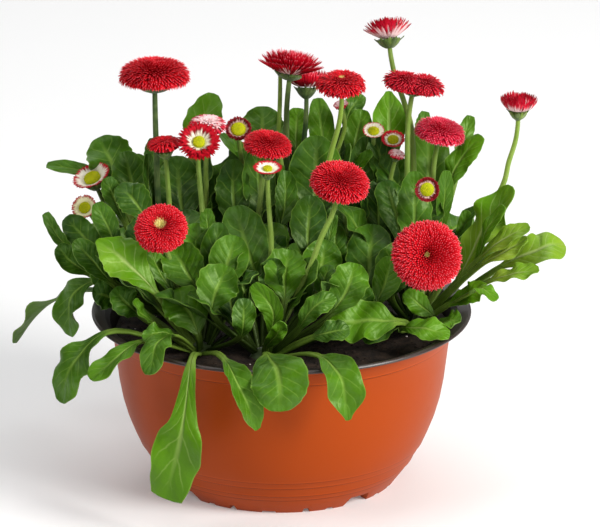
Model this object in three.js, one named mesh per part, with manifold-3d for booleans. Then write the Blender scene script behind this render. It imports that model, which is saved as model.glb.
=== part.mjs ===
// Potted english daisy: a bowl of soil with five pompon daisy plants in bloom.
// Millimetres, +Z up, the front of the bowl faces -Y. The origin lies on the standing
// surface, under the middle of the bowl.
import * as THREE from 'three';
import { mergeVertices } from 'three/addons/utils/BufferGeometryUtils.js';
import Module from 'manifold-3d';

const wasm = await Module();
wasm.setup();

// Driving dimensions of the bowl
const POT_HEIGHT = 105.5;
const POT_LIP_RADIUS = 115;
const POT_WALL = 1.4;
const POT_SEGMENTS = 32;
const FOOT_TURN = -6;
const FOOT_HEIGHT = 6.5;
const FOOT_GAP_FROM = 36;
const FOOT_GAP_TO = 54;
const FOOT_GAP_SLOPE = 3.5;
const FLOOR_TOP = 8.5;

// Notches in each foot: degrees from its middle, half of the width in degrees, height
const FOOT_NOTCHES = [[-30, 2.6, 1.2], [-18, 2.2, 3], [0, 4, 1.2], [18, 2.2, 3], [30, 2.6, 1.2]];
const NOTCH_SLOPE = 1;

// Driving dimensions of the soil and of the plants' crowns
const SOIL_TOP = 89;
const SOIL_BUMP = 1.4;
const CLEARANCE = 0.3;
const CROWN_SIDES = 8;
const CROWN_FOOT = 74;
const CROWN_RADIUS = 10;
const CROWN_RISE = 14;
const ROOT_LOW = 93;
const ROOT_HIGH = 101;
const ROOT_SPREAD = 8;

// Driving dimensions of the leaves and the flower stems
const BLADE_THICKNESS = 0.9;
const WIDE_BLADE = 20;
const PETIOLE_HALF_WIDTH = 1.9;
const PETIOLE_THICKNESS = 2.2;
const BLADE_FOLD = 0.16;
const BLADE_WAVE = 0.07;
const STEM_SIDES = 4;
const STEM_STEPS = 5;
const STEM_ROOT_RADIUS = 2.1;
const STEM_TOP_RADIUS = 1.6;
const STEM_STRAIGHT = 5;
const STEM_BENDS = [0.4, 0.75];

// Driving dimensions of the blooms; shares are of a bloom's radius
const BLOOM_DEPTH = 0.36;
const POMPON_COLUMNS = 16;
const DAISY_PETALS = 10;
const BUD_COLUMNS = 12;
const CUP_BRACTS = 4;
const CUP_DEPTH = 0.5;
const SHALLOW_CUP_DEPTH = 0.2;
const TWIN_CUP = 0.7;
const TWIN_LOBE = 0.68;
const TWIN_SHIFT = 0.34;
const DISC_SIDES = 8;

const COLORS = {
  terracotta: 0xb4532a,
  soil: 0x1e1512,
  leaf: 0x4f7f22,
  redPetal: 0xb0101c,
  pinkPetal: 0xd8788c,
  yellowDisc: 0xa8a81e,
};

// Each leaf: neck (where the blade starts), middle and tip of its midrib, width of the
// blade, the way its upper face looks (degrees right of the front, degrees above level),
// and how late the blade widens.
const PLANTS = [
  {
    name: 'plant_front_left',
    crown: [-48, -42],
    leaves: [
      [[-52, -104, 107], [-57, -119, 72], [-67, -115, 27], 30, -20, 15, 2.0],
      [[-33, -106, 110], [-24, -122, 98], [-13, -124, 72], 15, 30, 40, 1.3],
      [[-63, -70, 112], [-72, -92, 114], [-76, -108, 101], 17, -30, 35, 1.3],
      [[-82, -72, 109], [-96, -88, 104], [-111, -95, 93], 18, -30, 60, 1.3],
      [[-101, -54, 109], [-121, -62, 95], [-133, -66, 69], 19, -25, 45, 1.6],
      [[-106, 12, 111], [-144, 50, 91], [-168, 78, 56], 16, -60, 70, 1.3],
      [[-76, -50, 113], [-83, -56, 121], [-88, -58, 129], 12, -20, 60, 1.3],
      [[-49, -58, 108], [-56, -52, 122], [-68, -44, 128], 25, 10, 45, 1.1],
      [[-74, -46, 130], [-91, -46, 149], [-109, -40, 162], 24, -10, 50, 1.2],
      [[-63, -40, 125], [-73, -36, 141], [-78, -30, 152], 12, 30, 20, 1.3],
      [[-49, -40, 126], [-57, -34, 141], [-66, -24, 153], 24, 5, 30, 1.2],
      [[-46, -30, 128], [-48, -22, 147], [-52, -10, 164], 20, 5, 35, 1.3],
      [[-37, -42, 128], [-32, -36, 145], [-27, -28, 160], 24, 5, 35, 1.2],
      [[-76, -24, 138], [-80, -18, 152], [-82, -8, 167], 24, 0, 35, 1.2],
    ],
  },
  {
    name: 'plant_front_middle',
    crown: [-10, -52],
    leaves: [
      [[-40, -62, 123], [-38, -58, 136], [-31, -50, 148], 23, -5, 35, 1.1],
      [[-11, -40, 125], [-20, -22, 149], [-28, 0, 173], 26, 5, 25, 1.2],
      [[-8, -92, 108], [-1, -121, 104], [0, -130, 86], 32, 5, 35, 1.0],
      [[22, -100, 110], [34, -120, 104], [40, -128, 79], 26, 20, 35, 1.2],
      [[-6, -62, 109], [-5, -66, 127], [-17, -62, 141], 13, -20, 40, 1.2],
      [[10, -68, 115], [19, -72, 130], [31, -70, 138], 14, 0, 40, 1.2],
      [[28, -66, 123], [39, -60, 137], [44, -50, 150], 22, 0, 45, 1.2],
      [[18, -55, 123], [25, -45, 136], [28, -36, 146], 12, -20, 20, 1.3],
      [[2, -48, 125], [2, -40, 138], [5, -26, 150], 23, 0, 30, 1.1],
      [[-7, -30, 131], [-8, -17, 145], [-1, -1, 162], 22, 0, 25, 1.3],
      [[22, -29, 124], [24, -24, 140], [27, -18, 155], 24, 0, 30, 1.1],
    ],
  },
  {
    name: 'plant_right',
    crown: [80, 4],
    leaves: [
      [[68, -62, 118], [47, -64, 119], [27, -66, 118], 29, 0, 50, 0.95],
      [[73, -50, 110], [84, -60, 113], [100, -62, 111], 14, 0, 50, 1.2],
      [[90, -30, 111], [82, -36, 120], [75, -36, 128], 13, -10, 40, 1.2],
      [[57, -40, 120], [62, -34, 133], [66, -24, 146], 17, 15, 35, 1.2],
      [[54, -14, 116], [53, -6, 137], [56, 8, 158], 28, 0, 35, 1.1],
      [[105, -5, 122], [120, -10, 156], [137, -12, 186], 24, -40, 35, 1.2],
      [[117, -24, 143], [132, -34, 160], [146, -38, 170], 12, -10, 55, 1.3],
      [[118, -28, 141], [134, -38, 154], [144, -40, 164], 12, -10, 60, 1.3],
      [[130, -28, 140], [153, -36, 155], [169, -30, 160], 26, -5, 55, 1.2],
      [[121, -36, 133], [137, -46, 142], [152, -50, 147], 12, 0, 60, 1.3],
      [[91, 30, 149], [90, 44, 177], [90, 60, 206], 26, 0, 25, 1.2],
      [[100, 30, 165], [107, 34, 186], [120, 36, 204], 14, -30, 30, 1.3],
      [[96, 14, 145], [98, 16, 167], [99, 18, 187], 11, 30, 10, 1.3],
      [[80, -10, 140], [80, -4, 163], [80, 6, 190], 20, 0, 20, 1.2],
      [[66, -18, 118], [68, -22, 136], [73, -20, 152], 25, 10, 35, 1.2],
    ],
  },
  {
    name: 'plant_left',
    crown: [-66, 26],
    leaves: [
      [[-106, 44, 171], [-124, 50, 177], [-144, 52, 181], 9, 0, 60, 1.3],
      [[-96, 44, 164], [-104, 50, 182], [-112, 56, 197], 27, 0, 35, 1.1],
      [[-86, 20, 159], [-91, 26, 176], [-95, 34, 194], 24, 10, 30, 1.1],
      [[-94, 6, 157], [-101, 6, 173], [-105, 10, 185], 11, 0, 40, 1.3],
      [[-79, -6, 158], [-87, -4, 173], [-98, 2, 183], 18, 0, 45, 1.2],
      [[-97, -10, 143], [-104, -12, 161], [-110, -10, 175], 14, 0, 40, 1.2],
      [[-105, 6, 133], [-119, 4, 149], [-130, 6, 161], 17, -10, 35, 1.2],
      [[-116, 0, 127], [-128, -4, 137], [-135, -4, 146], 16, 0, 40, 1.1],
      [[-102, -14, 126], [-113, -20, 142], [-122, -22, 155], 15, 0, 45, 1.2],
      [[-112, -5, 124], [-127, -2, 112], [-129, 0, 87], 20, -40, 10, 1.2],
      [[-100, 12, 120], [-95, 14, 135], [-88, 20, 149], 25, 0, 35, 1.2],
      [[-48, 60, 172], [-50, 70, 195], [-42, 84, 217], 21, 0, 25, 1.2],
      [[-59, 20, 146], [-62, 34, 167], [-64, 46, 187], 28, 0, 30, 1.1],
      [[-43, 24, 142], [-45, 36, 160], [-47, 48, 182], 25, 0, 30, 1.1],
    ],
  },
  {
    name: 'plant_back',
    crown: [18, 38],
    leaves: [
      [[-25, 10, 149], [-29, 18, 169], [-29, 30, 190], 20, 0, 25, 1.1],
      [[-8, 14, 151], [-11, 22, 165], [-14, 32, 180], 20, 0, 25, 1.1],
      [[-1, 4, 151], [2, 10, 168], [2, 20, 186], 13, 20, 25, 1.2],
      [[16, -14, 140], [16, -10, 158], [18, 2, 176], 21, 0, 35, 1.2],
      [[-12, 66, 180], [-12, 74, 196], [-12, 80, 210], 25, 0, 25, 1.1],
      [[9, 62, 185], [9, 68, 199], [10, 74, 210], 15, 0, 25, 1.2],
      [[25, 56, 170], [25, 66, 193], [22, 78, 216], 16, 0, 25, 1.2],
      [[42, 60, 176], [46, 68, 193], [50, 76, 208], 16, 0, 30, 1.2],
      [[64, 58, 173], [66, 68, 196], [66, 80, 220], 21, 0, 25, 1.3],
      [[57, 20, 140], [59, 26, 160], [61, 34, 177], 21, 0, 30, 1.1],
      [[39, 20, 133], [39, 28, 153], [39, 38, 173], 27, 0, 30, 1.1],
      [[13, 7, 117], [12, 2, 131], [10, 6, 145], 25, 5, 30, 1.2],
      [[70, 30, 147], [69, 38, 170], [66, 48, 190], 21, 0, 30, 1.1],
    ],
  },
];

// Each bloom: its plant, the middle of its petals, its radius, the way it looks (degrees
// right of the front, degrees above level), its form, the point that its stem passes on
// its way up, and for an open bloom the share of its radius that the disc takes.
const BLOOM_ROWS = [
  ['plant_left', [-76, 20, 248], 21.4, 180, 87, 'pompon', [-75, 20, 170]],
  ['plant_left', [-70, 0, 209], 10.8, -30, 82, 'bud', [-67, 1, 160]],
  ['plant_front_left', [-49, -6, 213], 13.2, 5, 46, 'daisy', [-47, -8, 160], 0.34],
  ['plant_left', [-44, 14, 217], 12, 20, 78, 'bud', [-46, 24, 167]],
  ['plant_back', [-26, 22, 212], 8.2, 0, 45, 'daisy', [-21, 34, 164], 0.62],
  ['plant_front_middle', [-8, 2, 209], 14.8, 50, 80, 'pompon', [-14, 0, 160]],
  ['plant_front_middle', [-8, -25, 202], 9, 0, 78, 'daisy', [-6, -26, 155], 0.34],
  ['plant_left', [-116, 36, 178], 12.3, -45, 62, 'daisy', [-104, 38, 140], 0.38],
  ['plant_left', [-120, 26, 161], 8, -20, 38, 'daisy', [-105, 34, 128], 0.5],
  ['plant_front_left', [-71, -44, 171], 16, -5, 46, 'pompon', [-62, -30, 126]],
  ['plant_back', [6, 30, 251], 20, 150, 76, 'pompon', [3, 35, 190]],
  ['plant_back', [-1, 63, 240], 7, 0, 84, 'bud', [-2, 63, 190]],
  ['plant_back', [15, 56, 233], 13, 180, 76, 'erect', [13, 56, 184]],
  ['plant_back', [36, 10, 244], 14.5, 0, 83, 'pompon', [26, 16, 180]],
  ['plant_front_middle', [35, -34, 197], 18, 25, 70, 'pompon', [17, -40, 144]],
  ['plant_right', [64, 42, 268], 14.8, -160, 70, 'funnel', [79, 40, 205]],
  ['plant_right', [80, 21, 242], 18, 70, 80, 'twin', [76, 18, 180]],
  ['plant_right', [96, 26, 210], 15.7, 70, 79, 'pompon', [91, 24, 160]],
  ['plant_back', [56, 45, 204], 6.8, 0, 60, 'daisy', [56, 47, 160], 0.6],
  ['plant_back', [68, 47, 198], 7.5, 0, 60, 'daisy', [62, 50, 158], 0.5],
  ['plant_back', [70, 34, 192], 5.5, 40, 70, 'bud', [64, 38, 152]],
  ['plant_right', [87, -15, 185], 7.6, 0, 20, 'daisy', [88, -2, 148], 0.62],
  ['plant_right', [86, -52, 156], 21, 0, 22, 'pompon', [84, -18, 121]],
  ['plant_right', [142, 10, 231], 11.5, 20, 86, 'erect', [133, 8, 180]],
  ['plant_back', [36, 42, 221], 5, -40, 70, 'bud', [31, 48, 179]],
];
const BLOOMS = BLOOM_ROWS.map(([plant, middle, radius, azimuth, elevation, form, way, discShare]) => (
  { plant, middle, radius, azimuth, elevation, form, way, discShare }
));

// Domes of petals: share of the radius, height and relief of each row of petal tips, and
// the height of the middle
const DOMES = {
  pompon: {
    columns: POMPON_COLUMNS,
    rows: [[0.78, 0.03, 0], [1, 0.14, 0.055], [0.98, 0.38, -0.05], [0.84, 0.58, 0.06], [0.5, 0.71, -0.08]],
    top: 0.72,
  },
  bud: {
    columns: BUD_COLUMNS,
    rows: [[0.8, 0.1, 0], [1, 0.22, 0.05], [0.92, 0.4, -0.04], [0.7, 0.54, 0.05], [0.36, 0.6, -0.06]],
    top: 0.62,
  },
  funnel: {
    columns: BUD_COLUMNS,
    rows: [[0.55, 0.12, 0], [0.85, 0.4, 0], [1, 0.62, 0.05], [0.8, 0.78, -0.05], [0.4, 0.86, 0.06]],
    top: 0.9,
  },
};

// Leaves that no seen leaf stands for: they fill the back of the rosettes by a rule.
const BACK_LEAVES = [
  { plant: 'plant_left', from: 98, to: 190, count: 4, reach: 62, top: 148 },
  { plant: 'plant_back', from: 42, to: 138, count: 5, reach: 90, top: 160 },
  { plant: 'plant_right', from: 12, to: 66, count: 3, reach: 62, top: 142 },
];
const RANDOM_SEED = 11;

function seededRandom(seed) {
  let state = seed;
  return () => {
    state = (state * 1664525 + 1013904223) % 4294967296;
    return state / 4294967296;
  };
}

function vector(point) {
  return new THREE.Vector3(point[0], point[1], point[2]);
}

function lookingTo(azimuth, elevation) {
  const a = THREE.MathUtils.degToRad(azimuth);
  const e = THREE.MathUtils.degToRad(elevation);
  return new THREE.Vector3(Math.sin(a) * Math.cos(e), -Math.cos(a) * Math.cos(e), Math.sin(e));
}

function without(v, along) {
  return v.clone().addScaledVector(along, -v.dot(along)).normalize();
}

// A closed solid from points and triangles, turned right side out
function solidOf(points, triangles) {
  const positions = new Float32Array(points.flatMap((p) => [p.x, p.y, p.z]));
  const geometry = new THREE.BufferGeometry();
  geometry.setAttribute('position', new THREE.BufferAttribute(positions, 3));
  geometry.setIndex(triangles);
  return solidOfGeometry(geometry);
}

function solidOfGeometry(geometry) {
  const bare = geometry.clone();
  bare.deleteAttribute('normal');
  bare.deleteAttribute('uv');
  const merged = mergeVertices(bare, 1e-4);
  const vertProperties = new Float32Array(merged.attributes.position.array);
  const triVerts = new Uint32Array(merged.index.array);
  if (signedVolume(vertProperties, triVerts) < 0) {
    for (let i = 0; i < triVerts.length; i += 3) {
      const first = triVerts[i];
      triVerts[i] = triVerts[i + 1];
      triVerts[i + 1] = first;
    }
  }
  return new wasm.Manifold(new wasm.Mesh({ numProp: 3, vertProperties, triVerts }));
}

function signedVolume(vertices, triangles) {
  const corner = (i) => new THREE.Vector3(vertices[3 * i], vertices[3 * i + 1], vertices[3 * i + 2]);
  let volume = 0;
  for (let i = 0; i < triangles.length; i += 3) {
    const a = corner(triangles[i]);
    const b = corner(triangles[i + 1]);
    const c = corner(triangles[i + 2]);
    volume += a.dot(b.cross(c)) / 6;
  }
  return volume;
}

// Rings of equally many points joined side by side. With caps the two ends close to a
// middle point each; without, the last ring joins the first.
function ringedSolid(rings, startPoint, endPoint) {
  const count = rings[0].length;
  const points = rings.flat();
  const triangles = [];
  const joinRings = (a, b) => {
    for (let k = 0; k < count; k++) {
      const next = (k + 1) % count;
      triangles.push(a + k, a + next, b + next);
      triangles.push(a + k, b + next, b + k);
    }
  };
  for (let j = 0; j + 1 < rings.length; j++) joinRings(j * count, (j + 1) * count);
  const last = (rings.length - 1) * count;
  if (startPoint) {
    const start = points.push(startPoint) - 1;
    const end = points.push(endPoint) - 1;
    for (let k = 0; k < count; k++) {
      const next = (k + 1) % count;
      triangles.push(start, next, k);
      triangles.push(end, last + k, last + next);
    }
  } else {
    joinRings(last, 0);
  }
  return solidOf(points, triangles);
}

function unionOf(solids) {
  let joined = solids[0];
  for (const next of solids.slice(1)) joined = joined.add(next);
  return joined;
}

function meshOf(name, solid, color, roughness) {
  const { vertProperties, triVerts } = solid.getMesh();
  const geometry = new THREE.BufferGeometry();
  geometry.setAttribute('position', new THREE.BufferAttribute(vertProperties, 3));
  geometry.setIndex(new THREE.BufferAttribute(triVerts, 1));
  geometry.computeVertexNormals();
  const material = new THREE.MeshStandardMaterial({ color, roughness, metalness: 0 });
  const mesh = new THREE.Mesh(geometry, material);
  mesh.name = name;
  return mesh;
}

function turnedProfile(profile, segments) {
  const outline = profile.map(([radius, height]) => new THREE.Vector2(radius, height));
  const geometry = new THREE.LatheGeometry(outline, segments);
  geometry.rotateX(Math.PI / 2);
  return solidOfGeometry(geometry);
}

// Bowl

// Half outline of the bowl: foot ring, three fine rings, flared wall, step ring and lip,
// then back down the inside and under the floor
function potProfile() {
  const w = POT_WALL;
  const outside = [
    [70.5, 0], [77.5, 9.5], [80.2, 13.6], [81, 14], [83.4, 19.8], [84.2, 20.2], [86, 24.2],
    [87, 24.6], [93.9, 41.6], [98.9, 63.5], [102.2, 91.4], [103.1, 92], [105, POT_HEIGHT - 6],
    [POT_LIP_RADIUS, POT_HEIGHT - 1.8], [POT_LIP_RADIUS - 0.6, POT_HEIGHT],
  ];
  const inside = [
    [107, POT_HEIGHT - 2.4], [102.2 - w, 90], [98.9 - w, 63.5], [93.9 - w, 41.6], [84.2 - w, 21],
    [75, FLOOR_TOP],
  ];
  const underneath = [[0, FLOOR_TOP], [0, FOOT_HEIGHT], [64, FOOT_HEIGHT], [65.5, 0], [70.5, 0]];
  return [...outside, ...inside, ...underneath];
}

// A cutter for one notch in the foot ring, narrower at its top
function footNotch(fromAngle, toAngle, height, slope) {
  const inner = 60;
  const outer = 84;
  const below = -1;
  const corner = (angle, radius, z) => {
    const a = THREE.MathUtils.degToRad(angle);
    return new THREE.Vector3(radius * Math.sin(a), -radius * Math.cos(a), z);
  };
  const ring = (radius) => [
    corner(fromAngle, radius, below),
    corner(toAngle, radius, below),
    corner(toAngle - slope, radius, height),
    corner(fromAngle + slope, radius, height),
  ];
  const middle = (radius) => corner((fromAngle + toAngle) / 2, radius, height / 2);
  return ringedSolid([ring(inner), ring(outer)], middle(inner), middle(outer));
}

function footNotches() {
  const notches = [];
  for (let foot = 0; foot < 4; foot++) {
    const centre = FOOT_TURN + 90 * foot;
    const gapFrom = centre + FOOT_GAP_FROM;
    const gapTo = centre + FOOT_GAP_TO;
    notches.push(footNotch(gapFrom, gapTo, FOOT_HEIGHT - 0.2, FOOT_GAP_SLOPE));
    for (const [turn, half, height] of FOOT_NOTCHES) {
      const middle = centre + turn;
      notches.push(footNotch(middle - half, middle + half, height, NOTCH_SLOPE));
    }
  }
  return notches;
}

function pot() {
  let bowl = turnedProfile(potProfile(), POT_SEGMENTS);
  for (const notch of footNotches()) bowl = bowl.subtract(notch);
  return bowl;
}

// Soil with an uneven top and one plain hole for each crown

function soilTopAt(radius, angle) {
  const wave = Math.sin(3 * angle + radius / 11) + Math.sin(5 * angle - radius / 17 + 1);
  return SOIL_TOP + (SOIL_BUMP * wave) / 2;
}

function soil() {
  const w = POT_WALL + CLEARANCE;
  const sides = [
    [75 - CLEARANCE * 2, FLOOR_TOP + CLEARANCE], [84.2 - w - 0.2, 21.2], [93.9 - w - 0.1, 41.6],
    [98.9 - w - 0.1, 63.5],
  ];
  const topRadii = [102.2 - w - 0.6, 80, 42];
  const ringAt = (radius, heightAt) => {
    const ring = [];
    for (let k = 0; k < POT_SEGMENTS; k++) {
      const angle = (2 * Math.PI * k) / POT_SEGMENTS;
      const x = radius * Math.sin(angle);
      const y = radius * Math.cos(angle);
      ring.push(new THREE.Vector3(x, y, heightAt(angle)));
    }
    return ring;
  };
  const rings = sides.map(([radius, height]) => ringAt(radius, () => height));
  for (const radius of topRadii) rings.push(ringAt(radius, (angle) => soilTopAt(radius, angle)));
  const bottom = new THREE.Vector3(0, 0, FLOOR_TOP + CLEARANCE);
  let filling = ringedSolid(rings, bottom, new THREE.Vector3(0, 0, SOIL_TOP));
  for (const plant of PLANTS) filling = filling.subtract(crownSolid(plant.crown, CLEARANCE));
  return filling;
}

// Plants

// The short stock that all leaves and stems of a plant grow from
function crownSolid([x, y], grow) {
  const outline = [
    [CROWN_RADIUS - 3, CROWN_FOOT - grow], [CROWN_RADIUS, CROWN_FOOT + 7],
    [CROWN_RADIUS, SOIL_TOP + 5], [CROWN_RADIUS - 5, SOIL_TOP + CROWN_RISE],
  ];
  const rings = outline.map(([radius, height]) => {
    const ring = [];
    for (let k = 0; k < CROWN_SIDES; k++) {
      const a = (2 * Math.PI * k) / CROWN_SIDES;
      const r = (radius + grow) / Math.cos(Math.PI / CROWN_SIDES);
      ring.push(new THREE.Vector3(x + r * Math.cos(a), y + r * Math.sin(a), height));
    }
    return ring;
  });
  const foot = new THREE.Vector3(x, y, CROWN_FOOT - grow);
  const top = new THREE.Vector3(x, y, SOIL_TOP + CROWN_RISE + 1);
  return ringedSolid(rings, foot, top);
}

// Where a leaf or stem leaves its crown: flat ones low at the rim, steep ones high inside
function rootToward(crown, point) {
  const away = new THREE.Vector2(point[0] - crown[0], point[1] - crown[1]);
  const steep = Math.min(1, Math.max(0, (point[2] - SOIL_TOP) / (away.length() + 20)));
  away.setLength(ROOT_SPREAD * (1 - 0.45 * steep));
  const height = ROOT_LOW + (ROOT_HIGH - ROOT_LOW) * steep;
  return new THREE.Vector3(crown[0] + away.x, crown[1] + away.y, height);
}

// Half width of the blade at a share of its length from neck to tip
function bladeHalfWidth(share, width, taper) {
  const swell = Math.sin(Math.PI * share ** (taper + 0.15)) ** 0.75;
  return PETIOLE_HALF_WIDTH + (width / 2 - PETIOLE_HALF_WIDTH) * swell;
}

// One leaf: a winged stalk that widens to a spoon-shaped blade with a folded midrib and
// a waved edge, as one closed body
function leafSolid(crown, [neck, middle, tip, width, azimuth, elevation, taper]) {
  const root = rootToward(crown, neck);
  const curve = new THREE.CatmullRomCurve3([root, vector(neck), vector(middle), vector(tip)]);
  const face = lookingTo(azimuth, elevation);
  const along = curve.getTangent(2 / 3);
  const across = along.clone().cross(without(face, along));
  const wide = width > WIDE_BLADE;
  const bladeSteps = wide ? [0, 0.3, 0.6, 0.86, 1] : [0, 0.36, 0.76, 1];
  const columns = wide ? [-1, 0, 1] : [-1, 1];
  const stalk = { half: PETIOLE_HALF_WIDTH, thickness: PETIOLE_THICKNESS, wave: 0, fold: 0 };
  const stations = [{ at: 0, ...stalk }];
  bladeSteps.forEach((share, i) => {
    const half = bladeHalfWidth(share, width, taper);
    const inside = share > 0 && share < 1;
    stations.push({
      at: (1 + 2 * share) / 3,
      half,
      thickness: share === 0 ? PETIOLE_THICKNESS * 0.8 : BLADE_THICKNESS,
      wave: inside ? BLADE_WAVE * half * (i % 2 === 0 ? 1 : -1) * 2 : 0,
      fold: inside ? BLADE_FOLD * half : 0,
    });
  });
  const points = [];
  for (const station of stations) {
    const centre = curve.getPoint(station.at);
    const t = curve.getTangent(station.at);
    const side = without(across, t);
    const up = side.clone().cross(t);
    const lift = (u) => Math.abs(u) * station.fold + u * station.wave;
    const place = (u, h) => centre.clone()
      .addScaledVector(side, u * station.half)
      .addScaledVector(up, lift(u) + h);
    for (const u of columns) points.push(place(u, station.thickness / 2));
    for (const u of columns) points.push(place(u, -station.thickness / 2));
  }
  return solidOf(points, bladeTriangles(stations.length, columns.length));
}

// Triangles of a strip with `columns` points on its upper and as many on its lower face
// at each station, split alike on both faces
function bladeTriangles(stations, columns) {
  const size = 2 * columns;
  const triangles = [];
  const quad = (a, b, c, d) => {
    triangles.push(a, b, c);
    triangles.push(a, c, d);
  };
  for (let i = 0; i + 1 < stations; i++) {
    const here = i * size;
    const there = here + size;
    for (let k = 0; k + 1 < columns; k++) {
      quad(here + k, there + k, there + k + 1, here + k + 1);
      const h = here + columns;
      const t = there + columns;
      triangles.push(h + k, t + k + 1, t + k);
      triangles.push(h + k, h + k + 1, t + k + 1);
    }
    quad(here, here + columns, there + columns, there);
    const right = columns - 1;
    quad(here + right, there + right, there + columns + right, here + columns + right);
  }
  const last = (stations - 1) * size;
  for (let k = 0; k + 1 < columns; k++) {
    quad(k, k + 1, columns + k + 1, columns + k);
    quad(last + k, last + columns + k, last + columns + k + 1, last + k + 1);
  }
  return triangles;
}

function backLeafRows(rule, crown, random) {
  const rows = [];
  for (let i = 0; i < rule.count; i++) {
    const share = (i + 0.5) / rule.count;
    const angle = THREE.MathUtils.degToRad(rule.from + (rule.to - rule.from) * share);
    const reach = rule.reach * (0.86 + 0.28 * random());
    const rise = (rule.top - ROOT_LOW) * (0.75 + 0.35 * random());
    const at = (out, up) => [
      crown[0] + Math.cos(angle) * reach * out,
      crown[1] + Math.sin(angle) * reach * out,
      ROOT_LOW + rise * up,
    ];
    const azimuth = THREE.MathUtils.radToDeg(angle) - 90;
    rows.push([at(0.4, 0.55), at(0.72, 0.95), at(1, 1), WIDE_BLADE, azimuth, 60, 1.1]);
  }
  return rows;
}

// Blooms

// Axes of a bloom: its base on the stem, the way it looks, and two directions across it
function bloomFrame(bloom) {
  const { middle, radius, azimuth, elevation } = bloom;
  const axis = lookingTo(azimuth, elevation);
  const across = without(new THREE.Vector3(1, 0, 0), axis);
  const up = axis.clone().cross(across);
  const base = vector(middle).addScaledVector(axis, -BLOOM_DEPTH * radius);
  const place = (r, angle, z) => base.clone()
    .addScaledVector(across, r * Math.cos(angle))
    .addScaledVector(up, r * Math.sin(angle))
    .addScaledVector(axis, z);
  return { base, axis, across, place };
}

function ringOf(frame, count, radiusAt, heightAt) {
  const ring = [];
  for (let k = 0; k < count; k++) {
    ring.push(frame.place(radiusAt(k), (2 * Math.PI * k) / count, heightAt(k)));
  }
  return ring;
}

function isShallow(bloom) {
  return bloom.form === 'pompon' || bloom.form === 'twin';
}

function cupDepth(bloom) {
  return bloom.radius * (isShallow(bloom) ? SHALLOW_CUP_DEPTH : CUP_DEPTH);
}

// Green cup of pointed bracts under the petals: a shallow one lies under a full head, a
// deep one holds a narrower bloom
function cupSolid(bloom) {
  const frame = bloomFrame(bloom);
  const radius = bloom.radius * (bloom.form === 'twin' ? TWIN_CUP : 1);
  const depth = cupDepth(bloom);
  const shape = isShallow(bloom)
    ? { waist: 0.26, tips: [0.5, 0.42], rises: [-0.03, -0.06], brim: 0.34 }
    : { waist: 0.36, tips: [0.62, 0.5], rises: [0.05, -0.06], brim: 0.38 };
  const count = 2 * CUP_BRACTS;
  const rings = [
    ringOf(frame, count, () => STEM_TOP_RADIUS + 0.5, () => -depth),
    ringOf(frame, count, () => shape.waist * radius, () => -0.6 * depth),
    ringOf(frame, count, (k) => shape.tips[k % 2] * radius, (k) => shape.rises[k % 2] * radius),
    ringOf(frame, count, () => shape.brim * radius, () => -0.02 * radius),
  ];
  const foot = frame.place(0, 0, -1.08 * depth);
  return ringedSolid(rings, foot, frame.place(0, 0, 0));
}

// A stem rises past its way point and bends smoothly into the axis of its bloom
function stemSolid(crown, bloom) {
  const frame = bloomFrame(bloom);
  const depth = cupDepth(bloom);
  const way = vector(bloom.way);
  const neck = frame.place(0, 0, -depth - STEM_STRAIGHT);
  const rise = neck.clone().sub(way);
  const pull = rise.length() / 3;
  const start = rise.clone().normalize().add(new THREE.Vector3(0, 0, 1)).normalize();
  const bend = new THREE.CubicBezierCurve3(
    way,
    way.clone().addScaledVector(start, pull),
    neck.clone().addScaledVector(frame.axis, -pull),
    neck,
  );
  const bends = STEM_BENDS.map((share) => bend.getPoint(share));
  const inCup = frame.place(0, 0, -depth / 2);
  const curve = new THREE.CatmullRomCurve3([rootToward(crown, bloom.way), way, ...bends, neck, inCup]);
  const rings = [];
  for (let i = 0; i <= STEM_STEPS; i++) {
    const share = i / STEM_STEPS;
    const centre = curve.getPoint(share);
    const t = curve.getTangent(share);
    const side = without(new THREE.Vector3(1, 0, 0), t);
    const other = t.clone().cross(side);
    const r = STEM_ROOT_RADIUS + (STEM_TOP_RADIUS - STEM_ROOT_RADIUS) * share;
    const ring = [];
    for (let k = 0; k < STEM_SIDES; k++) {
      const a = (2 * Math.PI * k) / STEM_SIDES;
      const point = centre.clone().addScaledVector(side, r * Math.cos(a));
      ring.push(point.addScaledVector(other, r * Math.sin(a)));
    }
    rings.push(ring);
  }
  return ringedSolid(rings, curve.getPoint(0), curve.getPoint(1));
}

// Dense head of many short petals: a dome whose petal tips stand out row by row
function domeSolid(frame, radius, { columns, rows, top }) {
  const rings = [ringOf(frame, columns, () => 0.4 * radius, () => CLEARANCE)];
  for (const [share, height, relief] of rows) {
    const sign = (k) => (k % 2 === 0 ? relief : -relief);
    const tipRadius = (k) => share * radius * (1 + sign(k));
    const tipHeight = (k) => CLEARANCE + height * radius * (1 + 0.6 * sign(k));
    rings.push(ringOf(frame, columns, tipRadius, tipHeight));
  }
  const under = frame.place(0, 0, CLEARANCE);
  return ringedSolid(rings, under, frame.place(0, 0, CLEARANCE + top * radius));
}

// Open bloom: two layers of strap petals round the hole that the disc fills
function daisySolid(frame, radius, discShare) {
  const count = 2 * DAISY_PETALS;
  const hole = discShare * radius;
  const lower = (k) => radius * (k % 2 === 0 ? 1 : 0.8);
  const upper = (k) => hole + (radius - hole) * (k % 2 === 0 ? 0.5 : 0.78);
  const rings = [
    ringOf(frame, count, () => hole, () => CLEARANCE),
    ringOf(frame, count, (k) => lower(k) - 0.4, () => 0.22 * radius + CLEARANCE),
    ringOf(frame, count, lower, () => 0.22 * radius + 1.1),
    ringOf(frame, count, upper, (k) => (k % 2 === 0 ? 0.26 : 0.34) * radius + 1.1),
    ringOf(frame, count, () => hole, () => 0.2 * radius + 1),
  ];
  return ringedSolid(rings);
}

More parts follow.
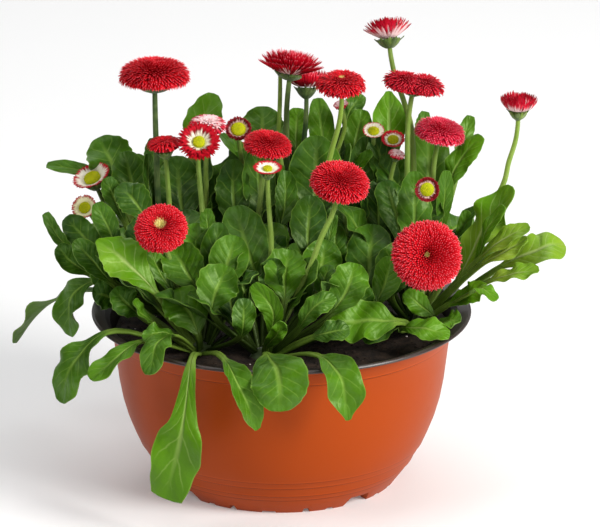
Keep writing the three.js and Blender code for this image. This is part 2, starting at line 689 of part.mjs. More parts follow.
function discSolid(frame, radius, discShare) {
  const r = discShare * radius - CLEARANCE;
  const edge = 0.2 * radius + 0.8;
  const rings = [
    ringOf(frame, DISC_SIDES, () => r, () => CLEARANCE),
    ringOf(frame, DISC_SIDES, () => r, () => edge),
    ringOf(frame, DISC_SIDES, () => 0.66 * r, () => edge + 0.3 * r),
  ];
  return ringedSolid(rings, frame.place(0, 0, CLEARANCE), frame.place(0, 0, edge + 0.38 * r));
}

// Half-open bloom whose petals still stand up in a ring
function erectSolid(frame, radius) {
  const count = 2 * BUD_COLUMNS;
  const edge = (share) => (k) => radius * share * (k % 2 === 0 ? 1 : 0.9);
  const rings = [
    ringOf(frame, count, () => 0.4 * radius, () => CLEARANCE),
    ringOf(frame, count, () => 0.74 * radius, () => 0.25 * radius),
    ringOf(frame, count, edge(1), (k) => (k % 2 === 0 ? 0.78 : 0.66) * radius),
    ringOf(frame, count, edge(0.82), () => 0.8 * radius),
    ringOf(frame, count, () => 0.45 * radius, () => 0.55 * radius),
  ];
  return ringedSolid(rings, frame.place(0, 0, CLEARANCE), frame.place(0, 0, 0.52 * radius));
}

// A head that has grown as two domes side by side on one stem
function twinSolid(frame, radius) {
  const lobe = TWIN_LOBE * radius;
  const shifted = (side) => {
    const shift = frame.across.clone().multiplyScalar(side * TWIN_SHIFT * radius);
    const place = (r, angle, z) => frame.place(r, angle, z).add(shift);
    return { ...frame, place };
  };
  const dome = { ...DOMES.pompon, columns: BUD_COLUMNS };
  return unionOf([-1, 1].map((side) => domeSolid(shifted(side), lobe, dome)));
}

function petalsSolid(bloom) {
  const frame = bloomFrame(bloom);
  const { radius, form, discShare } = bloom;
  if (form === 'daisy') return daisySolid(frame, radius, discShare);
  if (form === 'erect') return erectSolid(frame, radius);
  if (form === 'twin') return twinSolid(frame, radius);
  return domeSolid(frame, radius, DOMES[form]);
}

// Assembly

const daisyBowl = new THREE.Group();
daisyBowl.add(meshOf('pot', pot(), COLORS.terracotta, 0.35));
daisyBowl.add(meshOf('soil', soil(), COLORS.soil, 0.95));

const random = seededRandom(RANDOM_SEED);
for (const plant of PLANTS) {
  const rows = [...plant.leaves];
  for (const rule of BACK_LEAVES.filter((r) => r.plant === plant.name)) {
    rows.push(...backLeafRows(rule, plant.crown, random));
  }
  const leaves = rows.map((row) => leafSolid(plant.crown, row));
  const ownBlooms = BLOOMS.filter((bloom) => bloom.plant === plant.name);
  const stems = ownBlooms.flatMap((bloom) => [stemSolid(plant.crown, bloom), cupSolid(bloom)]);
  const body = unionOf([crownSolid(plant.crown, 0), ...leaves, ...stems]);
  daisyBowl.add(meshOf(plant.name, body, COLORS.leaf, 0.5));
}

BLOOMS.forEach((bloom, i) => {
  const number = String(i + 1).padStart(2, '0');
  const color = bloom.form === 'daisy' ? COLORS.pinkPetal : COLORS.redPetal;
  daisyBowl.add(meshOf(`bloom_${number}_petals`, petalsSolid(bloom), color, 0.6));
  if (bloom.form === 'daisy') {
    const disc = discSolid(bloomFrame(bloom), bloom.radius, bloom.discShare);
    daisyBowl.add(meshOf(`bloom_${number}_disc`, disc, COLORS.yellowDisc, 0.8));
  }
});

export default daisyBowl;
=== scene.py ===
"""Potted english daisy: a plastic bowl of soil with five pompon daisies in bloom.

Lengths in the tables are millimetres and every mesh is in metres, in the frame of the
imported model: +Z up, the front of the bowl faces -Y, the origin lies under its middle.
"""
import math
import random

import bpy
import numpy as np
from bpy.props import FloatProperty, FloatVectorProperty, IntProperty, PointerProperty
from mathutils import Matrix, Vector, noise


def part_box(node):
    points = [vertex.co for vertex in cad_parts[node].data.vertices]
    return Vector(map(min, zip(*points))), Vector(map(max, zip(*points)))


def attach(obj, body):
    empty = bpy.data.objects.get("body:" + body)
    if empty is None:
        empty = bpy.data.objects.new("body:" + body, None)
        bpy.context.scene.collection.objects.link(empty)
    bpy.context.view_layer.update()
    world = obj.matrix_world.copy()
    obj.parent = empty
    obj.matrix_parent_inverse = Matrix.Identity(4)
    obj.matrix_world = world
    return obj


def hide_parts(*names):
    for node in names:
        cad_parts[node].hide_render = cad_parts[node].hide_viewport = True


bl_info = {
    "name": "Potted english daisy",
    "version": (1, 0, 0),
    "blender": (4, 5, 0),
    "location": "View3D > Sidebar > Daisy",
    "description": "Bowl of pompon daisies, built piece by piece over its packed frame",
    "category": "Add Mesh",
}

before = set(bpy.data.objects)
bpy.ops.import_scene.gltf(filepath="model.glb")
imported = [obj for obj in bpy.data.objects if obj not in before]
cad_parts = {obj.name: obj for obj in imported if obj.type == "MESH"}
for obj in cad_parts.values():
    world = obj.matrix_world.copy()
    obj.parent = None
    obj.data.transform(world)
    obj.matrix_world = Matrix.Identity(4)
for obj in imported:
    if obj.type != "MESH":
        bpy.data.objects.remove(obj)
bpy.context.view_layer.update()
BOWL_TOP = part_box("pot")[1].z
MM = 0.001

# Plants in millimetres, as in the solids. Each leaf: neck, middle and tip of its midrib,
# width, the way its face looks (degrees right of the front, above level), how late it
# widens, its colour from deep blue-green at 0 to fresh yellow-green at 1, and the name of
# its shape where it isn't the usual spoon.
PLANTS = {
    "front_left": {
        "crown": (-48, -42),
        "leaves": [
            [(-52, -104, 107), (-57, -119, 72), (-67, -115, 27), 31, -20, 15, 2.0, 0.95, "hanging"],
            [(-33, -105, 110), (-24, -119, 98), (-13, -121, 72), 18, 30, 40, 1.3, 0.6, "folded"],
            [(-63, -70, 112), (-72, -92, 114), (-76, -108, 101), 17, -30, 35, 1.3, 0.6],
            [(-82, -72, 109), (-96, -88, 104), (-111, -95, 93), 18, -30, 60, 1.3, 0.75],
            [(-101, -54, 109), (-121, -62, 95), (-133, -66, 69), 23, -25, 45, 1.6, 0.55],
            [(-106, 12, 111), (-144, 50, 91), (-168, 78, 56), 16, -60, 70, 1.3, 0.4],
            [(-76, -50, 113), (-83, -56, 121), (-88, -58, 129), 12, -20, 60, 1.3, 0.6],
            [(-49, -58, 108), (-56, -52, 122), (-68, -44, 128), 25, 10, 45, 1.1, 0.55],
            [(-74, -46, 130), (-91, -46, 149), (-109, -40, 162), 24, -10, 50, 1.2, 1.08, "pointed"],
            [(-63, -40, 125), (-73, -36, 141), (-78, -30, 152), 12, 30, 20, 1.3, 0.4],
            [(-49, -40, 126), (-57, -34, 141), (-66, -24, 153), 24, 5, 30, 1.2, 0.3],
            [(-46, -30, 128), (-48, -22, 147), (-52, -10, 164), 20, 5, 35, 1.3, 0.35],
            [(-37, -42, 128), (-32, -36, 145), (-27, -28, 160), 24, 5, 35, 1.2, 0.45],
            [(-76, -24, 138), (-80, -18, 152), (-82, -8, 167), 24, 0, 35, 1.2, 0.2],
        ],
        "fine": [
            [(-44, -20, 150), (-44, -12, 160), (-45, -4, 170), 9, 0, 30, 1.3, 0.3],
        ],
    },
    "front_middle": {
        "crown": (-10, -52),
        "leaves": [
            [(-40, -62, 123), (-38, -58, 136), (-31, -50, 148), 23, -5, 35, 1.1, 0.65],
            [(-11, -40, 125), (-20, -22, 149), (-28, 0, 173), 26, 5, 25, 1.2, 0.3],
            [(-8, -92, 108), (-1, -121, 104), (0, -128, 86), 32, 5, 35, 1.0, 0.45, "round"],
            [(22, -100, 110), (34, -118, 104), (39, -124, 79), 21, 20, 35, 1.2, 0.6, "creased"],
            [(-6, -62, 109), (-5, -66, 127), (-17, -62, 141), 13, -20, 40, 1.2, 0.6],
            [(10, -68, 115), (19, -72, 130), (31, -70, 138), 14, 0, 40, 1.2, 0.55],
            [(28, -66, 123), (39, -60, 137), (44, -50, 150), 22, 0, 45, 1.2, 0.6],
            [(18, -55, 123), (25, -45, 136), (28, -36, 146), 12, -20, 20, 1.3, 0.35],
            [(2, -48, 125), (2, -40, 138), (5, -26, 150), 23, 0, 30, 1.1, 0.5],
            [(-7, -30, 131), (-8, -17, 145), (-1, -1, 162), 22, 0, 25, 1.3, 0.3],
            [(22, -29, 124), (24, -24, 140), (27, -18, 155), 24, 0, 30, 1.1, 0.4],
        ],
        "fine": [
            [(-9, -60, 101), (-3, -70, 112), (2, -74, 122), 9, 20, 40, 1.3, 0.6],
        ],
    },
    "right": {
        "crown": (80, 4),
        "leaves": [
            [(68, -62, 118), (47, -64, 119), (27, -66, 118), 29, 0, 50, 0.95, 0.7, "smooth"],
            [(73, -50, 110), (84, -60, 113), (100, -62, 111), 14, 0, 50, 1.2, 0.8],
            [(90, -30, 111), (82, -36, 120), (75, -36, 128), 13, -10, 40, 1.2, 0.7],
            [(57, -40, 120), (62, -34, 133), (66, -24, 146), 17, 15, 35, 1.2, 0.6],
            [(54, -14, 116), (53, -6, 137), (56, 8, 158), 28, 0, 35, 1.1, 0.2],
            [(105, -5, 122), (120, -10, 156), (137, -12, 186), 24, -40, 35, 1.2, 1.3],
            [(117, -24, 143), (132, -34, 160), (146, -38, 170), 12, -10, 55, 1.3, 1.35],
            [(118, -28, 141), (134, -38, 154), (144, -40, 164), 12, -10, 60, 1.3, 1.35],
            [(130, -28, 140), (153, -36, 155), (168, -30, 160), 26, -5, 55, 1.2, 1.25],
            [(121, -36, 133), (137, -46, 142), (152, -50, 147), 12, 0, 60, 1.3, 1.2],
            [(91, 30, 149), (90, 44, 177), (90, 60, 206), 26, 0, 25, 1.2, 0.65],
            [(100, 30, 165), (107, 34, 186), (120, 36, 204), 14, -30, 30, 1.3, 0.8],
            [(96, 14, 145), (98, 16, 167), (99, 18, 187), 11, 30, 10, 1.3, 0.6],
            [(80, -10, 140), (80, -4, 163), (80, 6, 190), 20, 0, 20, 1.2, 0.3],
            [(66, -18, 118), (68, -22, 136), (73, -20, 152), 25, 10, 35, 1.2, 0.3],
        ],
        "fine": [
            [(116, -20, 140), (122, -28, 163), (131, -32, 180), 9, -30, 40, 1.3, 0.8],
            [(112, -40, 128), (119, -52, 135), (127, -60, 132), 9, 0, 60, 1.3, 0.8],
            [(105, 10, 132), (110, 14, 148), (112, 16, 162), 9, 0, 30, 1.3, 0.6],
            [(107, 50, 175), (111, 58, 192), (116, 64, 208), 10, 0, 30, 1.3, 0.4],
        ],
    },
    "left": {
        "crown": (-66, 26),
        "leaves": [
            [(-106, 44, 171), (-124, 50, 177), (-144, 52, 181), 9, 0, 60, 1.3, 0.35],
            [(-96, 44, 164), (-104, 50, 182), (-112, 56, 197), 27, 0, 35, 1.1, 0.4],
            [(-86, 20, 159), (-91, 26, 176), (-95, 34, 194), 24, 10, 30, 1.1, 0.15],
            [(-94, 6, 157), (-101, 6, 173), (-105, 10, 185), 11, 0, 40, 1.3, 0.3],
            [(-79, -6, 158), (-87, -4, 173), (-98, 2, 183), 18, 0, 45, 1.2, 0.2],
            [(-97, -10, 143), (-104, -12, 161), (-110, -10, 175), 14, 0, 40, 1.2, 0.25],
            [(-105, 6, 133), (-119, 4, 149), (-130, 6, 161), 17, -10, 35, 1.2, 0.15],
            [(-116, 0, 127), (-128, -4, 137), (-135, -4, 146), 16, 0, 40, 1.1, 0.2],
            [(-102, -14, 126), (-113, -20, 142), (-122, -22, 155), 15, 0, 45, 1.2, 0.35],
            [(-112, -5, 124), (-127, -2, 112), (-129, 0, 87), 20, -40, 10, 1.2, 0.2],
            [(-100, 12, 120), (-95, 14, 135), (-88, 20, 149), 25, 0, 35, 1.2, 0.15],
            [(-48, 60, 172), (-50, 70, 195), (-42, 84, 217), 21, 0, 25, 1.2, 0.85],
            [(-59, 20, 146), (-62, 34, 167), (-64, 46, 187), 28, 0, 30, 1.1, 0.15],
            [(-43, 24, 142), (-45, 36, 160), (-47, 48, 182), 25, 0, 30, 1.1, 0.25],
        ],
        "fine": [
            [(-80, 18, 166), (-81, 22, 181), (-81, 26, 195), 9, 40, 10, 1.3, 0.3],
            [(-120, 20, 131), (-135, 22, 142), (-143, 24, 158), 8, 0, 40, 1.3, 0.3],
        ],
    },
    "back": {
        "crown": (18, 38),
        "leaves": [
            [(-25, 10, 149), (-29, 18, 169), (-29, 30, 190), 20, 0, 25, 1.1, 0.1],
            [(-8, 14, 151), (-11, 22, 165), (-14, 32, 180), 20, 0, 25, 1.1, 0.15],
            [(-1, 4, 151), (2, 10, 168), (2, 20, 186), 13, 20, 25, 1.2, 0.2],
            [(16, -14, 140), (16, -10, 158), (18, 2, 176), 21, 0, 35, 1.2, 0.3],
            [(-12, 66, 180), (-12, 74, 196), (-12, 80, 210), 25, 0, 25, 1.1, 0.4],
            [(9, 62, 185), (9, 68, 199), (10, 74, 210), 15, 0, 25, 1.2, 0.7],
            [(25, 56, 170), (25, 66, 193), (22, 78, 216), 16, 0, 25, 1.2, 0.75],
            [(42, 60, 176), (46, 68, 193), (50, 76, 208), 16, 0, 30, 1.2, 0.8],
            [(64, 58, 173), (66, 68, 196), (66, 80, 220), 21, 0, 25, 1.3, 0.9, "pointed"],
            [(57, 20, 140), (59, 26, 160), (61, 34, 177), 21, 0, 30, 1.1, 0.15],
            [(39, 20, 133), (39, 28, 153), (39, 38, 173), 27, 0, 30, 1.1, 0.15],
            [(13, 7, 117), (12, 2, 131), (10, 6, 145), 25, 5, 30, 1.2, 0.2],
            [(70, 30, 147), (69, 38, 170), (66, 48, 190), 21, 0, 30, 1.1, 0.2],
        ],
        "fine": [
            [(83, 70, 179), (86, 80, 192), (89, 88, 204), 9, 0, 25, 1.3, 0.4],
            [(42, 46, 170), (47, 44, 182), (55, 40, 192), 8, 0, 50, 1.3, 0.4],
            [(26, -4, 137), (29, -2, 150), (32, 2, 164), 6, 0, 30, 1.3, 0.4],
            [(14, 16, 147), (14, 22, 165), (14, 30, 181), 9, 0, 20, 1.3, 0.3],
            [(39, 80, 192), (42, 86, 204), (50, 90, 214), 12, 0, 30, 1.3, 0.4],
        ],
    },
}

# Leaves at the back of the rosettes: directions from and to in degrees, count, reach and
# height of the tips
BACK_LEAVES = {
    "left": (98, 190, 4, 62, 148),
    "back": (42, 138, 5, 81, 160),
    "right": (12, 66, 3, 62, 142),
}

# Small leaves that close gaps in the foliage, rows like those above
GAP_LEAVES = {
    "front_left": [
        [(-84, -34, 112), (-92, -38, 121), (-99, -38, 130), 17, -20, 50, 1.2, 0.15],
        [(-62, -62, 108), (-72, -70, 114), (-80, -76, 114), 12, -20, 50, 1.2, 0.4],
        [(-24, -66, 110), (-22, -70, 122), (-22, -66, 134), 14, 10, 35, 1.2, 0.3],
        [(-42, -32, 124), (-40, -27, 145), (-37, -20, 166), 17, 10, 35, 1.2, 0.2],
    ],
    "front_middle": [
        [(18, -74, 112), (30, -80, 118), (40, -80, 120), 15, 10, 45, 1.2, 0.35],
        [(34, -52, 112), (44, -52, 124), (50, -46, 136), 17, 10, 35, 1.2, 0.25],
        [(-26, -56, 112), (-30, -52, 128), (-32, -44, 142), 16, -10, 35, 1.2, 0.2],
    ],
    "right": [
        [(70, -44, 106), (60, -60, 112), (50, -70, 110), 15, -10, 50, 1.2, 0.3],
        [(92, -40, 108), (100, -50, 114), (106, -54, 116), 13, 10, 55, 1.2, 0.7],
        [(100, -26, 116), (112, -36, 126), (120, -42, 134), 13, 10, 50, 1.2, 0.8],
        [(60, -34, 106), (50, -44, 118), (42, -46, 130), 18, -10, 40, 1.2, 0.25],
    ],
    "left": [
        [(-96, -10, 112), (-106, -16, 118), (-114, -18, 120), 17, -20, 45, 1.2, 0.1],
        [(-92, 0, 118), (-104, -6, 126), (-112, -8, 134), 18, -10, 45, 1.2, 0.15],
        [(-92, 10, 124), (-102, 6, 136), (-110, 4, 146), 17, 0, 40, 1.2, 0.1],
    ],
    "back": [
        [(20, 14, 158), (21, 19, 184), (21, 24, 207), 33, 0, 25, 0.8, 0.25, "smooth"],
        [(46, 42, 152), (49, 46, 176), (52, 50, 198), 19, 0, 30, 1.1, 0.3],
        [(-9, 12, 150), (-13, 18, 174), (-15, 24, 200), 20, 0, 25, 1.1, 0.3],
        [(30, -3, 122), (32, 1, 140), (33, 6, 156), 15, 0, 30, 1.1, 0.2],
    ],
}

# Leaves inside the foliage of each plant, the range of their reach from the crown, of
# their rise and of their width, and how far out and to the side their tips may come
FILL_LEAVES = {"front_left": 16, "front_middle": 18, "right": 20, "left": 22, "back": 26}
FILL_REACH = (18, 66)
FILL_RISE = (38, 112)
FILL_WIDTH = (15, 26)
FILL_OUT = 125
FILL_SIDE = 122

# Leaves with their tips nearer the middle and higher than this stand in the shade of others
SHADED_REACH = 95
SHADED_HEIGHT = 120

# Each bloom: plant, middle of the petals, radius, the way it looks (degrees right of the
# front, above level), form, point on its stem, share of the disc or pale heart, finish of
# the petals, how far straps stand up, share of the radius where white turns to red, and how
# fresh the green of the stem is
BLOOMS = [
    ("left", (-76, 20, 248), 21.4, 180, 87, "pompon", (-75, 20, 170), 0, "red", 1, 0, 0.0),
    ("left", (-70, 0, 209), 10.8, -30, 82, "bud", (-67, 1, 160), 0, "red", 1, 0, 0.5),
    ("front_left", (-49, -6, 213), 13.2, 5, 46, "daisy", (-47, -8, 160), 0.3, "two_tone", 1, 0.46, 0.5),
    ("left", (-44, 14, 217), 12, 20, 78, "bud", (-46, 24, 167), 0, "pink", 1, 0.85, 0.6),
    ("back", (-26, 22, 212), 8.2, 0, 45, "daisy", (-21, 34, 164), 0.6, "wine", 1, 0.66, 0.6),
    ("front_middle", (-8, 2, 209), 14.8, 50, 80, "pompon", (-14, 0, 160), 0, "red", 1, 0, 0.4),
    ("front_middle", (-8, -25, 202), 9, 0, 78, "daisy", (-6, -26, 155), 0.34, "two_tone", 1.3, 0.7, 0.6),
    ("left", (-116, 36, 178), 12.3, -45, 62, "daisy", (-104, 38, 140), 0.46, "two_tone", 1.6, 0.78, 0.3),
    ("left", (-120, 26, 161), 8, -20, 38, "daisy", (-105, 34, 128), 0.5, "cream", 1.8, 0.8, 0.3),
    ("front_left", (-71, -44, 171), 16, -5, 46, "pompon", (-62, -30, 126), 0.2, "red", 1, 0, 0.5),
    ("back", (6, 30, 251), 20, 150, 76, "fan", (3, 35, 190), 0, "crimson", 1, 0.06, 0.1),
    ("back", (-1, 63, 240), 7, 0, 84, "bud", (-2, 63, 190), 0, "red", 1, 0, 0.7),
    ("back", (15, 56, 233), 13, 180, 76, "erect", (13, 56, 184), 0, "crimson", 1, 0.04, 0.0),
    ("back", (36, 10, 244), 14.5, 0, 83, "pompon", (26, 16, 180), 0.11, "red", 1, 0, 0.8),
    ("front_middle", (35, -34, 197), 18, 25, 70, "pompon", (17, -40, 144), 0, "red", 1, 0, 0.6),
    ("right", (64, 42, 268), 14.8, -160, 70, "funnel", (79, 40, 205), 0, "pink", 1, 0.42, 0.5),
    ("right", (80, 21, 242), 18, 70, 80, "twin", (76, 18, 180), 0, "crimson", 1, 0, 0.5),
    ("right", (96, 26, 210), 15.7, 70, 79, "pompon", (91, 24, 160), 0, "rose", 1, 0, 0.5),
    ("back", (56, 45, 204), 6.8, 0, 60, "daisy", (56, 47, 160), 0.55, "two_tone", 1.5, 0.88, 0.6),
    ("back", (68, 47, 198), 7.5, 0, 60, "daisy", (62, 50, 158), 0.5, "two_tone", 1.5, 0.66, 0.5),
    ("back", (70, 34, 192), 5.5, 40, 70, "bud", (64, 38, 152), 0, "pink", 1, 0.9, 0.7),
    ("right", (87, -15, 185), 7.6, 0, 20, "daisy", (88, -2, 148), 0.6, "wine", 1.2, 0.64, 0.5),
    ("right", (86, -52, 156), 21, 0, 22, "pompon", (84, -18, 121), 0.07, "red", 1, 0, 0.5),
    ("right", (142, 10, 231), 11.5, 20, 86, "erect", (133, 8, 180), 0, "pink", 1, 0.5, 0.7),
    ("back", (36, 42, 221), 5, -40, 70, "bud", (31, 48, 179), 0, "pink", 1, 0.9, 0.8),
]
BLOOM_FIELDS = ("plant", "middle", "radius", "azimuth", "elevation", "form", "way", "disc", "finish", "lift",
                "pale_to", "stem_tint")

# Points on the outline of a dome of petals, from its top to its rim
DOME_STEPS = 160

# Surface that the petal tips of a head reach: height of the rim, rise of the dome above it,
# squareness, and droop below the rim. All but the squareness are shares of the radius.
DOMES = {
    "pompon": (0.11, 0.61, 2.7, 0.15),
    "twin": (0.16, 0.66, 2.4, 0.14),
    "bud": (0.16, 0.42, 2.3, 0.10),
    "funnel": (0.50, 0.36, 2.2, 0.0),
    "fan": (0.33, 0.39, 2.4, 0.0),
    "erect": (0.62, 0.22, 3.0, 0.0),
}

# What sets the shapes of leaves apart: how slowly they widen (rise), how pointed they end
# (point), the fold along the midrib, how far the tip bends back (curl), and the strength of
# teeth, ripple and twist. What a shape leaves out is plain or drawn for each leaf.
LEAF_SHAPES = {
    "spoon": {"rise": 1.15, "point": 0.0},
    "round": {"rise": 0.8, "point": -0.12, "curl": 0.1, "fold": 0.14},
    "pointed": {"rise": 1.0, "point": 0.75},
    "hanging": {"fold": 0.10, "curl": -0.05, "teeth": 0.3},
    "smooth": {"rise": 0.9, "point": -0.05, "ripple": 0.4, "teeth": 0.2, "twist": 0.05, "fold": 0.1},
    "creased": {"rise": 1.0, "point": 0.8, "fold": 0.55, "curl": 0.0},
    "folded": {"rise": 1.0, "point": 0.7, "fold": 0.7, "curl": 0.15},
}

# Half width of the hanging leaf from neck to tip, as shares of half its width
HANGING_OUTLINE = (0.05, 0.12, 0.18, 0.24, 0.33, 0.47, 0.86, 1.0, 0.94, 0.78, 0.77, 0.58)

# Half width of a stalk, thickness of a stalk, a blade and its midrib, share of a leaf that
# is stalk, and how far the side veins run forward on their way to the edge
STALK_HALF = 1.9
STALK_THICK = 2.2
BLADE_THICK = 0.45
RIB_HALF = 1.3
STALK_SHARE = 0.2
VEIN_SLANT = 0.26

# Bowl: heights of the rings moulded round it, where shade and highlights are painted on, and how far below
# its top the dark lip starts
BOWL_RINGS = (10.5, 14.0, 20.2, 24.6, 92.0)
LIP_HEIGHT = 1.7

# Foot of the bowl: height of the bowl's underside above the ground, top of its floor, number
# of feet, turn of the first from the front in degrees, and radius and depth of the cuts
FOOT_HEIGHT = 6.5
FLOOR_TOP = 8.5
FOOT_COUNT = 4
FOOT_TURN = -6
FOOT_REACH = 72
CUT_DEPTH = 24

# Cuts in each foot: degrees from its middle, width in degrees, slope of the sides, height
FOOT_CUTS = [(45, 18, 3.5, 6.3), (-30, 5.2, 1, 1.2), (-18, 4.4, 1, 3), (0, 8, 1, 1.2), (18, 4.4, 1, 3),
             (30, 5.2, 1, 1.2)]

# Width of a petal at shares of its length
PETAL_SHARES = (0, 0.3, 0.55, 0.8, 0.92, 1)
PETAL_SWELL = (0.45, 0.62, 0.88, 0.95, 0.62, 0.14)

# Heads whose petals end more unevenly, and how many times more
RAGGED_HEADS = {14: 2.4, 17: 3.6}

# How far the petals of a dome lean towards its rim, the hollow over a pale heart, and the
# number of petals in it
PETAL_LEAN = 0.8
HEART_DIMPLE = 0.15
HEART_PETALS = 90

# Straps of an open bloom: reach and rise of each row as shares, and spacing of the straps
STRAP_ROWS = ((1.0, 0.16), (0.97, 0.22), (0.9, 0.29), (0.8, 0.34), (0.66, 0.38))
STRAP_SPACING = 1.2

# Rings of a small combed head, as shares of its radius, and the spacing of their petals
COMB_RINGS = (1.0, 0.93, 0.8, 0.64, 0.47, 0.3, 0.14)
COMB_SPACING = 1.25

# Standing petals: reach of each row, its share of the rise above the rim and its count, the
# greatest width of a petal, and its thickness
STANDING_ROWS = ((1.0, 0, 54), (0.92, 0.4, 50), (0.8, 0.68, 44), (0.64, 0.86, 36), (0.46, 0.95, 26),
                 (0.28, 1, 16), (0.1, 1, 8))
STANDING_WIDTH = 2.6
STANDING_THICK = 0.55

# Fewest petals of a full head, and size of the dark body that closes it and stands in for the shade inside
LEAST_QUILLS = 110
CORE_SIZE = 0.82

# Fewest and most florets on a disc
DISC_FLORETS = (45, 110)

# Size and place of the two heads that have grown together, as shares of the whole
TWIN_LOBE = 0.68
TWIN_SHIFT = 0.34

# Soil: its top in the solids and here, gap to the bowl, radius of its edge and of its slope,
# and spacing and number of its rings
SOIL_TOP = 89
SOIL_LEVEL = 92
SOIL_GAP = 0.3
SOIL_EDGE = 102.2
SOIL_REACH = 102
SOIL_RING_STEP = 3.2
SOIL_RINGS = 30

# Loose crumbs and grit: how far out they lie, and their sizes
CRUMB_REACH = 99
CRUMB_SIZES = (0.5, 1.9)
GRIT_SIZES = (0.5, 1.5)

# Crowns, and the roots of the leaves and stems in them
CROWN_RADIUS = 10
ROOT_LOW = 92
ROOT_HIGH = 98
ROOT_SPREAD = 8

# Stems: radius at the root and at the top, straight length under the cup, and hairs
STEM_ROOT = 2.1
STEM_TOP = 1.6
STEM_STRAIGHT = 5
STEM_HAIRS = 90

# Cups as shares of the radius of their blooms: depth of an open and of a shallow cup, depth
# and width where a form has its own, and the outline from the stem to the petals
CUP_DEPTH = 0.5
SHALLOW_CUP = 0.2
CUP_DEPTHS = {"pompon": SHALLOW_CUP, "twin": SHALLOW_CUP, "fan": SHALLOW_CUP, "funnel": 0.36}
CUP_WIDTHS = {"twin": 0.7, "fan": 0.8}
CUP_OUTLINE = ((0.10, -1.10), (0.14, -1.0), (0.24, -0.78), (0.32, -0.5), (0.35, -0.24), (0.30, -0.04))

# Bracts: number in each of the two rows, and radius and height of the tips of each row
BRACTS = 8
OPEN_BRACTS = ((0.57, 0.05), (0.50, 0.0))
CLOSED_BRACTS = ((0.50, -0.03), (0.46, -0.05))
FAN_BRACTS = ((0.37, 0.03), (0.33, 0.0))

# Depth of a bloom below the middle of its petals, as a share of its radius
BLOOM_DEPTH = 0.36

# Turn from one petal or floret to the next that packs them evenly
GOLDEN_TURN = math.pi * (3 - math.sqrt(5))

# Lights: place in metres, size, power and colour
LIGHTS = {
    "key": ((1.7, -1.15, 1.25), 0.9, 66, (1.0, 0.985, 0.96)),
    "left": ((-1.3, -0.8, 1.6), 0.9, 11, (0.98, 0.99, 1.0)),
    "front": ((0.3, -2.2, 0.7), 1.0, 6, (1, 1, 1)),
    "top": ((0.1, 0.1, 1.9), 1.0, 6, (1, 1, 1)),
    "back": ((0.0, 1.3, 1.5), 1.8, 16, (1, 1, 1)),
}
LIGHT_AIM = (0, 0, 0.13)
AIR_COLOUR = (0.95, 0.97, 1.0, 1)
AIR_STRENGTH = 0.12

# Camera: what it looks at in metres, and the width of its sensor
VIEW_TARGET = (0.0112, 0, 0.1335)
SENSOR_WIDTH = 36

# Colours of petals: painted shade deep between them, body, tip, the very end (a painted highlight in the red,
# crimson, wine and rose finishes, the petal's own darker tip in the others), and the pale part
PETAL_COLOURS = {
    "red": ((0.20, 0.0, 0.003), (0.56, 0.0012, 0.007), (0.70, 0.007, 0.018), (0.88, 0.17, 0.21),
            (0.80, 0.70, 0.26)),
    "crimson": ((0.16, 0.0, 0.005), (0.50, 0.002, 0.012), (0.64, 0.008, 0.03), (0.88, 0.22, 0.27),
                (0.88, 0.58, 0.56)),
    "wine": ((0.08, 0.0, 0.003), (0.17, 0.001, 0.005), (0.24, 0.003, 0.010), (0.45, 0.08, 0.10),
             (0.84, 0.56, 0.52)),
    "rose": ((0.26, 0.0, 0.012), (0.70, 0.006, 0.035), (0.84, 0.03, 0.09), (0.95, 0.42, 0.50),
             (0.88, 0.55, 0.6)),
    "pink": ((0.28, 0.0, 0.01), (0.62, 0.010, 0.04), (0.52, 0.004, 0.02), (0.36, 0.002, 0.01),
             (0.90, 0.62, 0.62)),
    "two_tone": ((0.20, 0.0, 0.004), (0.52, 0.003, 0.015), (0.44, 0.002, 0.010), (0.26, 0.001, 0.006),
                 (0.93, 0.86, 0.72)),
    "cream": ((0.30, 0.10, 0.05), (0.50, 0.05, 0.04), (0.40, 0.01, 0.02), (0.26, 0.003, 0.01),
              (0.93, 0.88, 0.56)),
}


# Settings that a user would change

class BowlSettings(bpy.types.PropertyGroup):
    """Sizes and colours of the bowl."""
    steps: IntProperty(
        name="Steps", description="Facets round the bowl", default=160, min=32, max=256)
    wall: FloatProperty(
        name="Wall", description="Wall of the bowl", default=0.0014, unit="LENGTH")
    colour: FloatVectorProperty(
        name="Outside", description="Colour of the outside", subtype="COLOR", default=(0.35, 0.049, 0.002))
    inside: FloatVectorProperty(
        name="Inside", description="Colour of the inside and the lip", subtype="COLOR",
        default=(0.030, 0.019, 0.015))


class SoilSettings(bpy.types.PropertyGroup):
    """Sizes and colours of the soil."""
    relief: FloatProperty(
        name="Relief", description="Height of the lumps", default=0.0016, unit="LENGTH")
    crumbs: IntProperty(
        name="Crumbs", description="Loose crumbs on the soil", default=1300, min=0, max=3000)
    grit: IntProperty(
        name="Grit", description="Pale grains on the soil", default=26, min=0, max=200)
    colour: FloatVectorProperty(
        name="Peat", description="Colour of moist peat", subtype="COLOR", default=(0.018, 0.011, 0.007))


